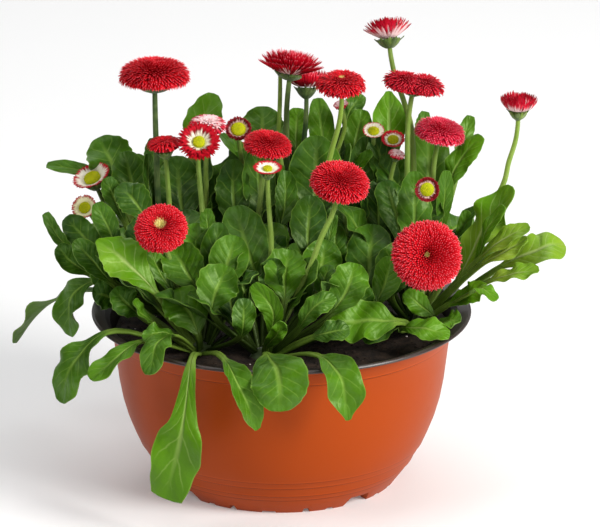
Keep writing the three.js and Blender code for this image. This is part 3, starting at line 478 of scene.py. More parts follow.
class LeafSettings(bpy.types.PropertyGroup):
    """Shape and colours of the leaves."""
    cells_across: IntProperty(
        name="Cells across", description="Cells across a blade", default=12, min=4, max=24)
    cells_along: IntProperty(
        name="Cells along", description="Cells from root to tip", default=36, min=12, max=80)
    fill_across: IntProperty(
        name="Fill cells across", description="Cells across an inner leaf", default=8, min=4, max=24)
    fill_along: IntProperty(
        name="Fill cells along", description="Cells along an inner leaf", default=24, min=12, max=80)
    ripple: FloatProperty(
        name="Ripple", description="Wave of the edge as a share of half a width", subtype="FACTOR",
        default=0.20, min=0, max=0.4)
    deep: FloatVectorProperty(
        name="Deep green", description="Colour of the darkest leaves", subtype="COLOR",
        default=(0.010, 0.043, 0.0016))
    fresh: FloatVectorProperty(
        name="Fresh green", description="Colour of the freshest leaves", subtype="COLOR",
        default=(0.082, 0.215, 0.003))
    lime: FloatVectorProperty(
        name="Lime", description="Colour of leaves that have lost their green", subtype="COLOR",
        default=(0.26, 0.38, 0.03))
    vein: FloatVectorProperty(
        name="Vein", description="Colour of midribs and stalks", subtype="COLOR", default=(0.22, 0.36, 0.05))


class BloomSettings(bpy.types.PropertyGroup):
    """Petals and discs of the blooms."""
    quills: IntProperty(
        name="Quills", description="Petals of a pompon of 20 mm radius", default=1150, min=60, max=2000)
    disc: FloatVectorProperty(
        name="Disc", description="Colour of an open disc", subtype="COLOR", default=(0.88, 0.70, 0.008))


class StageSettings(bpy.types.PropertyGroup):
    """Camera and floor."""
    distance: FloatProperty(
        name="Distance", description="Camera to the middle of the view", default=2.4, unit="LENGTH")
    elevation: FloatProperty(
        name="Elevation", description="Camera above level", default=math.radians(18.4), subtype="ANGLE")
    view_width: FloatProperty(
        name="View width", description="Width of the view at the object", default=0.36222, unit="LENGTH")
    floor: FloatVectorProperty(
        name="Floor", description="Colour of the floor", subtype="COLOR", default=(0.86, 0.86, 0.86))


# Small tools for meshes

def select_only(obj):
    """obj is active and alone selected."""
    bpy.ops.object.select_all(action="DESELECT")
    obj.select_set(True)
    bpy.context.view_layer.objects.active = obj


def turned(name, outline, steps):
    """A wall drawn up from a ring through each (radius, height) of the outline, closed at both ends."""
    bpy.ops.object.select_all(action="DESELECT")
    radius, height = outline[0]
    bpy.ops.mesh.primitive_circle_add(vertices=steps, radius=radius, location=(0, 0, 0))
    ring = bpy.context.object
    ring.name = name
    bpy.ops.object.mode_set(mode="EDIT")
    bpy.ops.mesh.select_all(action="SELECT")
    bpy.ops.transform.translate(value=(0, 0, height))
    for next_radius, next_height in outline[1:]:
        bpy.ops.mesh.extrude_region_move(TRANSFORM_OT_translate={"value": (0, 0, next_height - height)})
        grow = next_radius / radius
        bpy.ops.transform.resize(value=(grow, grow, 1), center_override=(0, 0, next_height))
        radius, height = next_radius, next_height
    bpy.ops.mesh.select_all(action="SELECT")
    bpy.ops.mesh.fill_holes(sides=0)
    bpy.ops.mesh.select_all(action="SELECT")
    bpy.ops.mesh.normals_make_consistent(inside=False)
    bpy.ops.object.mode_set(mode="OBJECT")
    return ring


def apply_modifier(obj, kind, **settings):
    """A modifier put on obj and applied at once."""
    select_only(obj)
    modifier = obj.modifiers.new(kind.lower(), kind)
    for key, value in settings.items():
        setattr(modifier, key, value)
    bpy.ops.object.modifier_apply(modifier=modifier.name)


def finish_piece(obj, *materials, slot=None, replaces=(), angle=40):
    """Smooth shading, materials, and the piece's place in the frame."""
    for material in materials:
        obj.data.materials.append(material)
    select_only(obj)
    bpy.ops.object.shade_smooth_by_angle(angle=math.radians(angle))
    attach(obj, "root")
    if replaces:
        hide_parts(*replaces)


class Blank:
    """A plain closed shape modelled once, whose copies are laid along lines of their own."""

    def __init__(self, obj):
        mesh = obj.data
        self.points = np.array([v.co for v in mesh.vertices], float)
        self.faces = [tuple(p.vertices) for p in mesh.polygons]
        bpy.data.objects.remove(obj)
        bpy.data.meshes.remove(mesh)


def strip_blank(across, along):
    """A closed strip: x from -1 to 1 across, y from 0 at the root to 1 at the tip, z from -1 to 1 through."""
    bpy.ops.object.select_all(action="DESELECT")
    bpy.ops.mesh.primitive_grid_add(x_subdivisions=across, y_subdivisions=along, size=2)
    strip = bpy.context.object
    apply_modifier(strip, "SOLIDIFY", thickness=2.0, offset=0.0)
    blank = Blank(strip)
    blank.points[:, 1] = (blank.points[:, 1] + 1) / 2
    return blank


def rod_blank(sides, along):
    """A closed rod of radius 1 round z, from 0 to 1."""
    outline = [(1.0, i / along) for i in range(along + 1)]
    return Blank(turned("rod_blank", outline, sides))


class Growth:
    """Collects laid copies, and becomes one mesh with a UV map and point attributes."""

    def __init__(self):
        self.points, self.faces, self.uv, self.marks = [], [], [], {}
        self.count = 0

    def add(self, points, faces, uv, **marks):
        self.points.append(points)
        self.faces.extend(tuple(i + self.count for i in face) for face in faces)
        self.uv.append(uv)
        for key, value in marks.items():
            self.marks.setdefault(key, []).append(np.broadcast_to(value, len(points)))
        self.count += len(points)

    def to_object(self, name):
        mesh = bpy.data.meshes.new(name)
        mesh.from_pydata(np.concatenate(self.points).tolist(), [], self.faces)
        uv = np.concatenate(self.uv)
        layer = mesh.uv_layers.new(name="UVMap")
        corners = np.zeros(len(mesh.loops), np.int32)
        mesh.loops.foreach_get("vertex_index", corners)
        layer.data.foreach_set("uv", uv[corners].astype(np.float32).ravel())
        for key, values in self.marks.items():
            attribute = mesh.attributes.new(key, "FLOAT", "POINT")
            attribute.data.foreach_set("value", np.concatenate(values).astype(np.float32))
        obj = bpy.data.objects.new(name, mesh)
        bpy.context.scene.collection.objects.link(obj)
        select_only(obj)
        bpy.ops.object.mode_set(mode="EDIT")
        bpy.ops.mesh.select_all(action="SELECT")
        bpy.ops.mesh.normals_make_consistent(inside=False)
        bpy.ops.object.mode_set(mode="OBJECT")
        return obj


# Lines and directions

def unit(v):
    """Vectors brought to length 1."""
    return v / np.maximum(np.linalg.norm(v, axis=-1, keepdims=True), 1e-12)


def looking_to(azimuth, elevation):
    """Direction by degrees right of the front and above level."""
    a, e = math.radians(azimuth), math.radians(elevation)
    return np.array([math.sin(a) * math.cos(e), -math.cos(a) * math.cos(e), math.sin(e)])


def without(v, along):
    """What v has square to another direction, at length 1."""
    return unit(v - (v * along).sum(-1, keepdims=True) * along)


class Line:
    """A smooth line through points, read at shares from 0 to 1."""

    def __init__(self, points):
        p = np.array(points, float)
        outer = np.vstack([2 * p[0] - p[1], p, 2 * p[-1] - p[-2]])
        self.parts = []
        for p0, p1, p2, p3 in zip(outer, outer[1:], outer[2:], outer[3:]):
            d0, d1, d2 = (np.linalg.norm(b - a) ** 0.5 for a, b in ((p0, p1), (p1, p2), (p2, p3)))
            t1 = ((p1 - p0) / d0 - (p2 - p0) / (d0 + d1) + (p2 - p1) / d1) * d1
            t2 = ((p2 - p1) / d1 - (p3 - p1) / (d1 + d2) + (p3 - p2) / d2) * d1
            self.parts.append((p1, t1, 3 * (p2 - p1) - 2 * t1 - t2, 2 * (p1 - p2) + t1 + t2))
        self.parts = np.array(self.parts)

    def at(self, share):
        place = np.clip(np.asarray(share, float), 0, 1) * len(self.parts)
        part = np.minimum(place.astype(int), len(self.parts) - 1)
        w = (place - part)[..., None]
        c = self.parts[part]
        return c[..., 0, :] + w * (c[..., 1, :] + w * (c[..., 2, :] + w * c[..., 3, :]))

    def tangent(self, share):
        share = np.asarray(share, float)
        return unit(self.at(share + 1e-4) - self.at(share - 1e-4))


def root_toward(crown, point):
    """Where a leaf or stem leaves its crown: flat ones low at the rim, steep ones high inside."""
    away = np.array(point[:2], float) - crown
    length = np.linalg.norm(away)
    steep = min(1.0, max(0.0, (point[2] - SOIL_TOP) / (length + 20)))
    spot = crown + away / length * ROOT_SPREAD * (1 - 0.45 * steep)
    return np.array([spot[0], spot[1], ROOT_LOW + (ROOT_HIGH - ROOT_LOW) * steep])


# Leaves

def leaf_half_width(share, width, taper, style):
    """Half width in millimetres from neck to tip, with the shallow teeth of the edge."""
    peak = 0.5 ** (1 / (taper + 0.15))
    power = np.where(share < peak, style["rise"] + (0.62 - style["rise"]) * share / peak,
                     0.62 + style["point"] * np.clip((share - peak) / (1 - peak), 0, 1))
    swell = np.sin(np.pi * np.clip(share, 0, 1) ** (taper + 0.15)) ** power
    if style["shape"] == "hanging":
        swell = Line(list(enumerate(HANGING_OUTLINE))).at(share)[..., 1]
    teeth = style["teeth"] * swell * np.sin(np.pi * style["tooth_count"] * share + style["phase"]) ** 2
    half = STALK_HALF + (width / 2 - STALK_HALF) * swell * (1 + style["belly"] * share) + teeth
    return np.where(share > 0.999, 0.35 if style["shape"] != "hanging" else 0.6 * half, half)


def leaf_points(blank, crown, row, style, ripple):
    """The blank's points laid along one leaf, in millimetres, with their UV and side."""
    neck, middle, tip, width, azimuth, elevation, taper = row[:7]
    line = Line([root_toward(np.array(crown, float), neck), neck, middle, tip])
    face = looking_to(azimuth, elevation)
    along = line.tangent(2 / 3)
    across = np.cross(along, without(face, along))
    u, along_share, h = blank.points.T
    along_share = 1 - (1 - along_share) ** 1.35
    share = (along_share - STALK_SHARE) / (1 - STALK_SHARE)
    t = np.where(share < 0, along_share / STALK_SHARE / 3, (1 + 2 * share) / 3)
    centre, direction = line.at(t), line.tangent(t)
    side = without(np.broadcast_to(across, direction.shape), direction)
    up = np.cross(side, direction)
    blade = np.clip(share, 0, 1)
    spread = np.clip(share / 0.12, 0, 1)
    half = np.where(share > 0, leaf_half_width(blade, width, taper, style),
                    STALK_HALF * (1.15 - 0.15 * along_share))
    wave = np.where(u > 0, np.sin(2 * np.pi * style["waves"] * blade + style["phase"]),
                    np.sin(2 * np.pi * (style["waves"] + 0.4) * blade + 2.1 * style["phase"]))
    edge = np.abs(u) ** 2.2
    body = np.sin(np.pi * blade) ** 0.5
    lift = half * (style["fold"] * np.abs(u) ** 1.3 - style["roll"] * edge * blade)
    lift += half * ripple * style["ripple"] * edge * wave * body
    lift += half * style["twist"] * u * np.sin(np.pi * blade)
    swing = np.sin(2 * np.pi * (style["buckles"] * blade + 0.3 * u) + 1.7 * style["phase"])
    lift += half * style["buckle"] * swing * (0.3 + 0.7 * np.abs(u)) * body
    lift -= 0.5 * width * style["curl"] * blade ** 3
    vein = (blade - VEIN_SLANT * np.abs(u)) * style["veins"]
    lift += 0.16 * body * np.sin(np.pi * np.abs(u)) * np.abs(np.sin(np.pi * vein))
    lift *= spread
    stalk_thick = STALK_THICK * (0.35 + 0.65 * np.sqrt(np.clip(1 - u * u, 0, 1)))
    rib = RIB_HALF * np.exp(-((u * half / RIB_HALF) ** 2)) * (1 - blade)
    blade_thick = BLADE_THICK + 0.25 * (1 - np.abs(u)) + rib
    thick = stalk_thick + (blade_thick - stalk_thick) * spread
    thick = np.where(h > 0, thick - 0.5 * rib * spread, thick)
    points = centre + side * (u * half)[:, None] + up * (lift + h * thick / 2)[:, None]
    uv = np.stack([0.5 + 0.5 * u, share], axis=1)
    return points, uv, np.where(h > 0, 0.0, 1.0)


def leaf_style(chance, row):
    """The chance features of one leaf, and those of its shape."""
    style = {
        "teeth": chance.choice([0.3, 0.7, 1.2]) * min(1.0, row[3] / 22),
        "tooth_count": chance.randint(5, 8),
        "belly": chance.uniform(-0.04, 0.06),
        "phase": chance.uniform(0, 6.28),
        "waves": chance.uniform(1.6, 3.0),
        "ripple": chance.uniform(0.5, 1.6),
        "fold": chance.uniform(0.10, 0.42),
        "roll": chance.uniform(-0.10, 0.25),
        "twist": chance.uniform(-0.26, 0.26),
        "veins": chance.uniform(6.5, 8.5),
        "buckles": chance.uniform(1.2, 2.4),
        "buckle": chance.uniform(0.10, 0.26),
        "curl": chance.uniform(-0.15, 0.6),
    }
    shape = row[8] if len(row) > 8 else "spoon"
    return style | {"shape": shape, "rise": 1.0, "point": 0.0} | LEAF_SHAPES[shape]


def leaf_route(crown, turn, out, rise):
    """Places on a leaf that leaves its crown at one turn, by shares of its reach and of its rise."""
    def at(share, up):
        return (crown[0] + math.cos(turn) * out * share, crown[1] + math.sin(turn) * out * share,
                ROOT_LOW + rise * up)
    return at


def back_leaf_rows(name, chance):
    """Leaves that fill the back of a rosette."""
    if name not in BACK_LEAVES:
        return []
    first, last, count, reach, top = BACK_LEAVES[name]
    crown = PLANTS[name]["crown"]
    rows = []
    for i in range(count):
        angle = math.radians(first + (last - first) * (i + 0.5) / count)
        out = reach * (0.86 + 0.28 * chance.random())
        rise = (top - ROOT_LOW) * (0.75 + 0.35 * chance.random())
        at = leaf_route(crown, angle, out, rise)
        rows.append([at(0.4, 0.55), at(0.72, 0.95), at(1, 1), 20, math.degrees(angle) - 90, 60, 1.1, 0.3])
    return rows


def foliage_top(x, y):
    """Height of the foliage's outline: it rises to the back and falls to both sides."""
    return 176 + 0.5 * y - 0.001 * (x - 10) ** 2


def fill_rows(name, chance):
    """Steep leaves that fill the inside of the foliage, kept under its outline."""
    crown = PLANTS[name]["crown"]
    rows = []
    while len(rows) < FILL_LEAVES[name]:
        turn = math.radians(chance.uniform(-15, 195))
        at = leaf_route(crown, turn, chance.uniform(*FILL_REACH), chance.uniform(*FILL_RISE))
        tip = at(1, 1)
        if tip[2] > foliage_top(*tip[:2]) or abs(tip[0]) > FILL_SIDE or math.hypot(*tip[:2]) > FILL_OUT:
            continue
        rows.append([at(0.45, 0.5), at(0.76, 0.8), tip, chance.uniform(*FILL_WIDTH), math.degrees(turn) - 90,
                     50, chance.uniform(1.0, 1.4), chance.uniform(0.0, 0.3)])
    return rows


def make_leaves(name, settings):
    """All leaves of one plant, grown from its crown."""
    chance = random.Random("leaves " + name)
    plant = PLANTS[name]
    growth = Growth()
    outer = plant["leaves"] + plant["fine"] + GAP_LEAVES[name] + back_leaf_rows(name, chance)
    blanks = ((outer, strip_blank(settings.cells_across, settings.cells_along)),
              (fill_rows(name, chance), strip_blank(settings.fill_across, settings.fill_along)))
    for rows, blank in blanks:
        for row in rows:
            style = leaf_style(chance, row)
            points, uv, under = leaf_points(blank, plant["crown"], row, style, settings.ripple)
            tint = max(0.0, row[7] + chance.uniform(-0.08, 0.08))
            tip = row[2]
            shaded = math.hypot(tip[0], tip[1]) < SHADED_REACH and tip[2] > SHADED_HEIGHT
            growth.add(points * MM, blank.faces, uv, tint=tint, under=under, own=chance.random(),
                       depth=0.9 if shaded else 0.35)
    return growth


def add_crown(growth, crown):
    """The short stock in the soil that leaves and stems grow from."""
    outline = [(7, 74), (CROWN_RADIUS, 81), (CROWN_RADIUS, 90), (8, 94), (5, SOIL_TOP + 8),
               (1.5, SOIL_TOP + 9)]
    blank = Blank(turned("crown_blank", outline, 20))
    points = blank.points + np.array([crown[0], crown[1], 0])
    uv = np.tile([0.5, -0.2], (len(points), 1))
    growth.add(points * MM, blank.faces, uv, tint=0.1, under=0.0)


# Blooms

class Bloom:
    """One bloom's sizes, and its own axes: base on the stem, axis, across and up."""

    def __init__(self, number, row):
        self.number = number
        for field, value in zip(BLOOM_FIELDS, row):
            setattr(self, field, value)
        self.axis = looking_to(self.azimuth, self.elevation)
        self.across = without(np.array([1.0, 0, 0]), self.axis)
        self.up = np.cross(self.axis, self.across)
        self.base = np.array(self.middle, float) - BLOOM_DEPTH * self.radius * self.axis
        self.chance = np.random.default_rng(100 + number)

    def place(self, radius, angle, height, shift=0.0):
        """Points at polar places round the bloom's axis, in millimetres."""
        radius, angle, height = (np.asarray(v, float)[..., None] for v in (radius, angle, height))
        middle = self.base + shift * self.across
        return (middle + self.across * radius * np.cos(angle) + self.up * radius * np.sin(angle)
                + self.axis * height)


BLOOM_LIST = [Bloom(i + 1, row) for i, row in enumerate(BLOOMS)]


def dome_profile(bloom, radius, dimple=0.0):
    """Radii and heights of the surface of petal tips, from its middle to below the rim."""
    rim, rise, squareness, droop = DOMES[bloom.form]
    turn = np.linspace(0, math.pi / 2, DOME_STEPS)
    r, z = np.sin(turn) ** (2 / squareness), rim + rise * np.cos(turn) ** (2 / squareness)
    under = np.linspace(0, 1, 24)[1:]
    r, z = np.append(r, 1 - 0.14 * under ** 2), np.append(z, rim - droop * under)
    z = z - dimple * np.exp(-(r / 0.22) ** 2)
    return r * radius, 0.3 + z * radius


def spread_over(profile, count):
    """Radius, height and outward normal of tips spread evenly on a profile turned round, and its area."""
    r, z = profile
    dr, dz = np.gradient(r), np.gradient(z)
    step = np.hypot(dr, dz)
    area = np.cumsum(r * step)
    share = (np.arange(count) + 0.5) / count
    at = np.interp(share, area / area[-1], np.arange(len(r)))
    pick = [np.interp(at, np.arange(len(r)), v) for v in (r, z, -dz / step, dr / step)]
    return (*pick, 2 * math.pi * area[-1])


def lay_petals(growth, blank, root, knee, tip, wide, thick, outward, shade, tone=0.0):
    """Copies of the rod blank laid on a bent line from root by knee to tip, one for each row."""
    s = blank.points[:, 2][None, :, None]
    root, knee, tip = root[:, None, :], knee[:, None, :], tip[:, None, :]
    centre = (1 - s) ** 2 * root + 2 * s * (1 - s) * knee + s ** 2 * tip
    direction = unit(2 * (1 - s) * (knee - root) + 2 * s * (tip - knee))
    face = without(np.broadcast_to(outward[:, None, :], direction.shape), direction)
    side = np.cross(direction, face)
    swell = np.interp(s, PETAL_SHARES, PETAL_SWELL)
    x, y = blank.points[:, 0][None, :, None], blank.points[:, 1][None, :, None]
    half_wide, half_thick = wide[:, None, None] / 2, thick[:, None, None] / 2
    points = centre + side * x * half_wide * swell + face * (y * half_thick * swell)
    tones = tone(points) if callable(tone) else np.broadcast_to(np.reshape(tone, (-1, 1)), points.shape[:2])
    uv = np.stack([0.5 + 0.5 * blank.points[:, 0], blank.points[:, 2]], axis=1)
    for i in range(points.shape[0]):
        growth.add(points[i] * MM, blank.faces, uv, shade=shade[i], tone=tones[i])


def pompon_petals(growth, bloom, radius, count, shift=0.0):
    """Quills of a dense head, packed evenly over its dome, each bent outward to stand on it."""
    chance = bloom.chance
    dimple = HEART_DIMPLE if bloom.disc else 0.04
    r, z, out_r, out_z, area = spread_over(dome_profile(bloom, radius, dimple), count)
    spacing = math.sqrt(area / count)
    angle = np.arange(count) * GOLDEN_TURN
    ragged = RAGGED_HEADS.get(bloom.number, 1)
    grow = 1 + ragged * np.clip(0.022 * chance.normal(0, 1, count), -0.04, 0.04)
    tip_r, tip_z = r * grow, z * (1 + 0.5 * (grow - 1)) + 0.012 * radius * chance.normal(0, 1, count)
    lean = PETAL_LEAN * (2 if bloom.disc > 0.1 or bloom.form == "twin" else 1)
    along_r, along_z = out_r + lean * out_z, out_z - lean * out_r
    size = np.hypot(along_r, along_z)
    along_r, along_z = along_r / size, along_z / size
    root_r, root_z = 0.52 * tip_r, 0.08 * radius + 0.52 * tip_z
    reach = 0.5 * np.hypot(tip_r - root_r, tip_z - root_z)
    knee_r, knee_z = tip_r - along_r * reach, tip_z - along_z * reach
    turn = angle + 0.02 * chance.normal(0, 1, count)
    root, tip = bloom.place(root_r, angle, root_z, shift), bloom.place(tip_r, turn, tip_z, shift)
    knee = bloom.place(knee_r, angle, knee_z, shift)
    wide = np.full(count, 0.92 * spacing) * (1 + 0.08 * chance.normal(0, 1, count))
    heart = bloom.disc * radius
    ring = np.exp(-((r - 1.6 * heart) / (0.6 * heart + 0.01)) ** 2) if bloom.disc > 0.1 else 0
    shade = np.clip(0.5 + 0.2 * chance.normal(0, 1, count) - 0.4 * ring, 0, 1)
    tone = np.clip(1.6 - r / heart, 0, 1) if heart else 0.0
    outward = np.tile(bloom.axis, (count, 1)) + (tip - bloom.base) * 0.004
    lay_petals(growth, rod_blank(4, 4), root, knee, tip, wide, 0.55 * wide, outward, shade, tone)


def combed_petals(growth, bloom):
    """Straps of a small head, combed outward over its dome in rings that overlap."""
    chance, radius = bloom.chance, bloom.radius
    r, z = dome_profile(bloom, radius)
    r, z = r[:DOME_STEPS], z[:DOME_STEPS]
    tone = paling(bloom, bloom.pale_to - 0.5, bloom.pale_to + 0.1, 0.16) if bloom.pale_to else 0.0
    for ring, reach in enumerate(COMB_RINGS):
        count = max(7, int(2 * math.pi * reach * radius / COMB_SPACING))
        angle = (np.arange(count) + 0.37 * ring) * 2 * math.pi / count + chance.normal(0, 0.06, count)
        tip_r = np.minimum(reach * radius * (1 + 0.05 * chance.normal(0, 1, count)), radius)
        root_r = np.maximum(tip_r - 0.5 * radius, 0.03 * radius)
        knee_r = (tip_r + root_r) / 2
        root_z, knee_z, tip_z = (np.interp(spot, r, z) for spot in (root_r, knee_r, tip_r))
        tip_z = tip_z + 0.05 * radius * (0.4 + chance.random(count))
        root = bloom.place(root_r, angle, root_z - 0.2 * radius)
        knee, tip = bloom.place(knee_r, angle, knee_z + 0.04 * radius), bloom.place(tip_r, angle, tip_z)
        wide = np.full(count, 2 * math.pi * reach * radius / count)
        shade = np.clip(0.5 + 0.25 * chance.normal(0, 1, count), 0, 1)
        outward = np.tile(bloom.axis, (count, 1))
        lay_petals(growth, rod_blank(4, 5), root, knee, tip, wide, 0.4 * wide, outward, shade, tone)
    add_shade_core(growth, bloom, radius)


def add_shade_core(growth, bloom, radius, shift=0.0):
    """A dark body that closes a head below its petal tips; it stands in for the shade inside the head and
    takes the petals' painted shade colour.
    """
    r, z = dome_profile(bloom, radius, 1.4 * HEART_DIMPLE if bloom.disc else 0.0)
    pick = np.linspace(len(r) - 1, 2, 16).astype(int)
    outline = [(0.3 * radius, 0.4)] + [(CORE_SIZE * r[i], 0.4 + CORE_SIZE * z[i]) for i in pick]
    blank = Blank(turned("core_blank", outline, 24))
    x, y, level = blank.points.T
    points = bloom.place(np.hypot(x, y), np.arctan2(y, x), level, shift)
    growth.add(points * MM, blank.faces, np.zeros((len(points), 2)), shade=0.3, tone=0.0)


def add_heart(growth, bloom):
    """Tuft of fine pale petals in the middle of a full head."""
    count = HEART_PETALS
    i = np.arange(count)
    share = np.sqrt((i + 0.5) / count)
    spot = 1.15 * bloom.disc * bloom.radius * share * (1 + 0.12 * bloom.chance.normal(0, 1, count))
    rim, rise, _, _ = DOMES[bloom.form]
    level = (rim + rise - 0.8 * HEART_DIMPLE) * bloom.radius + 0.06 * bloom.radius * share
    root = bloom.place(spot * 0.5, i * GOLDEN_TURN, level - 0.2 * bloom.radius)
    tip = bloom.place(spot, i * GOLDEN_TURN, level)
    wide = np.full(count, 1.5 * bloom.disc * bloom.radius / math.sqrt(count))
    outward = np.tile(bloom.across, (count, 1))
    lay_petals(growth, rod_blank(4, 3), root, (root + tip) / 2, tip, wide, wide, outward,
               0.1 + 0.8 * bloom.chance.random(count), 0.95 - 0.5 * bloom.chance.random(count) * share ** 2)


def paling(bloom, low, high, vary=0.05):
    """White inside and coloured outside: 1 nearer the axis than low, 0 beyond high."""
    def tone(points):
        away = points - bloom.base
        away = away - (away @ bloom.axis)[..., None] * bloom.axis
        far = np.linalg.norm(away, axis=-1) / bloom.radius
        far = far + vary * bloom.chance.normal(0, 1, (len(points), 1))
        return 1 - np.clip((far - low) / (high - low), 0, 1)
    return tone


def strap_petals(growth, bloom):
    """Rows of narrow straps round the disc of an open bloom, the inner ones shorter and steeper."""
    chance = bloom.chance
    radius, hole = bloom.radius, bloom.disc * bloom.radius
    blank = rod_blank(4, 5)
    tone = paling(bloom, bloom.pale_to - 0.12, bloom.pale_to + 0.12)
    per_row = max(20, int(2 * math.pi * radius * 0.7 / STRAP_SPACING))
    uneven = 0.1 if bloom.finish == "wine" else 0.07 if bloom.lift == 1 else 0.03
    outward = np.tile(bloom.axis, (per_row, 1))
    for row, (reach, rise) in enumerate(STRAP_ROWS):
        if bloom.lift > 1:
            rise = 0.2 * bloom.lift * reach ** 1.5 + 0.015 * row
        angle = (np.arange(per_row) + 0.31 * row) * 2 * math.pi / per_row + chance.normal(0, 0.05, per_row)
        length = reach * (1 + uneven * chance.normal(0, 1, per_row))
        tip_r = np.minimum(hole + (radius - hole) * length, radius)
        tip_z = 0.8 + rise * radius * (1 + 1.5 * uneven * chance.normal(0, 1, per_row))
        knee_r = hole + (tip_r - hole) * 0.5
        root = bloom.place(np.full(per_row, hole * 0.9), angle, np.full(per_row, 0.5 + 0.25 * row))
        knee = bloom.place(knee_r, angle, tip_z * 0.85 + 0.03 * radius)
        tip = bloom.place(tip_r, angle, tip_z)
        wide = np.full(per_row, 2 * math.pi * radius * 0.75 / per_row)
        shade = np.clip(0.5 + 0.2 * chance.normal(0, 1, per_row), 0, 1)
        lay_petals(growth, blank, root, knee, tip, wide, 0.24 * wide, outward, shade, tone)


def standing_petals(growth, bloom):
    """Petals of a half-open head: they rise from the cup to a flaring rim, and inner ones close the top."""
    chance = bloom.chance
    radius = bloom.radius
    flare = bloom.form != "erect"
    rim, rise, _, _ = DOMES[bloom.form]
    blank = rod_blank(4, 5)

    def tone(points):
        level = (points - bloom.base) @ bloom.axis / radius
        level = level + 0.12 * chance.normal(0, 1, (len(points), 1))
        return 1 - np.clip((level - 0.14 * (bloom.pale_to > 0.1)) / (0.84 * bloom.pale_to), 0, 1)

    for row, (reach, share, count) in enumerate(STANDING_ROWS):
        top = rim + share * rise
        count *= 2 if bloom.form == "fan" else 1
        angle = (np.arange(count) + 0.5 * row) * 2 * math.pi / count + chance.normal(0, 0.04, count)
        clump = 1.0 if flare else 1 + 0.05 * np.sin(3 * angle + 0.6) + 0.04 * np.sin(7 * angle)
        high = top * radius * clump * (1 + 0.03 * chance.normal(0, 1, count))
        tip_r = reach * radius * (1 if flare else 0.96) * np.minimum(clump, 1.03)
        root = bloom.place(np.full(count, (0.30 if flare else 0.38) * radius * min(1, 2 * reach)), angle,
                           np.full(count, 0.4))
        knee = bloom.place(tip_r * (0.6 if flare else 0.92), angle, high * (0.42 if flare else 0.3))
        tip = bloom.place(tip_r, angle, high)
        wide = np.full(count, 2 * math.pi * reach * radius / count * (0.9 if reach > 0.2 else 2))
        outward = unit(bloom.axis * (radius * 0.9) - (tip - bloom.base)) * -1.0
        shade = np.clip(0.5 + 0.2 * chance.normal(0, 1, count), 0, 1)
        wide, thick = np.minimum(wide, STANDING_WIDTH), np.full(count, STANDING_THICK)
        lay_petals(growth, blank, root, knee, tip, wide, thick, outward, shade, tone)


def make_petals(bloom, settings):
    """All petals of one bloom, laid in the way of its form."""
    growth = Growth()
    if bloom.form == "daisy":
        strap_petals(growth, bloom)
    elif bloom.form == "bud":
        combed_petals(growth, bloom)
    elif bloom.form in ("erect", "funnel", "fan"):
        standing_petals(growth, bloom)
    else:
        lobes = [(bloom.radius, 0.0)]
        if bloom.form == "twin":
            lobes = [(TWIN_LOBE * bloom.radius, side * TWIN_SHIFT * bloom.radius) for side in (-1, 1)]
        for radius, shift in lobes:
            count = int(max(LEAST_QUILLS, settings.quills * (radius / 20) ** 1.95))
            pompon_petals(growth, bloom, radius, count, shift)
            add_shade_core(growth, bloom, radius, shift)
        if bloom.disc:
            add_heart(growth, bloom)
    return growth


def make_disc(bloom):
    """A dome of tiny florets in the middle of an open bloom."""
    growth = Growth()
    radius = bloom.disc * bloom.radius * 0.97
    height, rise = 0.2 * bloom.radius + 0.8, 0.36 * radius
    outline = [(1.0, -1.0), (1.0, 0.0), (0.9, 0.42), (0.62, 0.78), (0.3, 0.96)]
    blank = Blank(turned("disc_blank", outline, 28))
    x, y, z = blank.points.T
    level = np.where(z < 0, 0.4, height + z * rise)
    # the dome under the florets sits low along the finish, where it takes the painted shade between florets
    uv = np.tile([0.5, 0.2], (len(blank.points), 1))
    points = bloom.place(np.hypot(x, y) * radius * 0.94, np.arctan2(y, x), level)
    growth.add(points * MM, blank.faces, uv, shade=0.0, tone=0.0)
    count = int(np.clip(4 * radius * radius, *DISC_FLORETS))
    i = np.arange(count)
    share = np.sqrt((i + 0.5) / count)
    spot = radius * 0.93 * share
    top = height + rise * (1 - share ** 2.2)
    root = bloom.place(spot, i * GOLDEN_TURN, top - 0.5)
    tip = bloom.place(spot * 1.03, i * GOLDEN_TURN, top + 0.55 + 0.25 * bloom.chance.random(count))
    wide = np.full(count, 1.3 * radius / math.sqrt(count))
    shade = np.clip(0.35 + 0.5 * share + 0.25 * bloom.chance.normal(0, 1, count), 0, 1)
    outward = np.tile(bloom.across, (count, 1))
    lay_petals(growth, rod_blank(5, 2), root, (root + tip) / 2, tip, wide, wide, outward, shade)
    return growth


# Stems and cups

def cup_depth(bloom):
    """Depth of a bloom's green cup as a share of its radius."""
    return CUP_DEPTHS.get(bloom.form, CUP_DEPTH)


def stem_line(bloom):
    """From the crown by its way point, and bent smoothly into the axis of the bloom."""
    crown = np.array(PLANTS[bloom.plant]["crown"], float)
    way = np.array(bloom.way, float)
    depth = cup_depth(bloom) * bloom.radius
    neck = bloom.place(0, 0, -depth - STEM_STRAIGHT)
    rise = neck - way
    pull = np.linalg.norm(rise) / 3
    start = unit(unit(rise) + np.array([0, 0, 1.0]))
    first, second = way + start * pull, neck - bloom.axis * pull

    def bend(t):
        s = 1 - t
        return s ** 3 * way + 3 * t * s ** 2 * first + 3 * t * t * s * second + t ** 3 * neck

    in_cup = bloom.place(0, 0, -depth / 2)
    return Line([root_toward(crown, way), way, bend(0.4), bend(0.75), neck, in_cup])


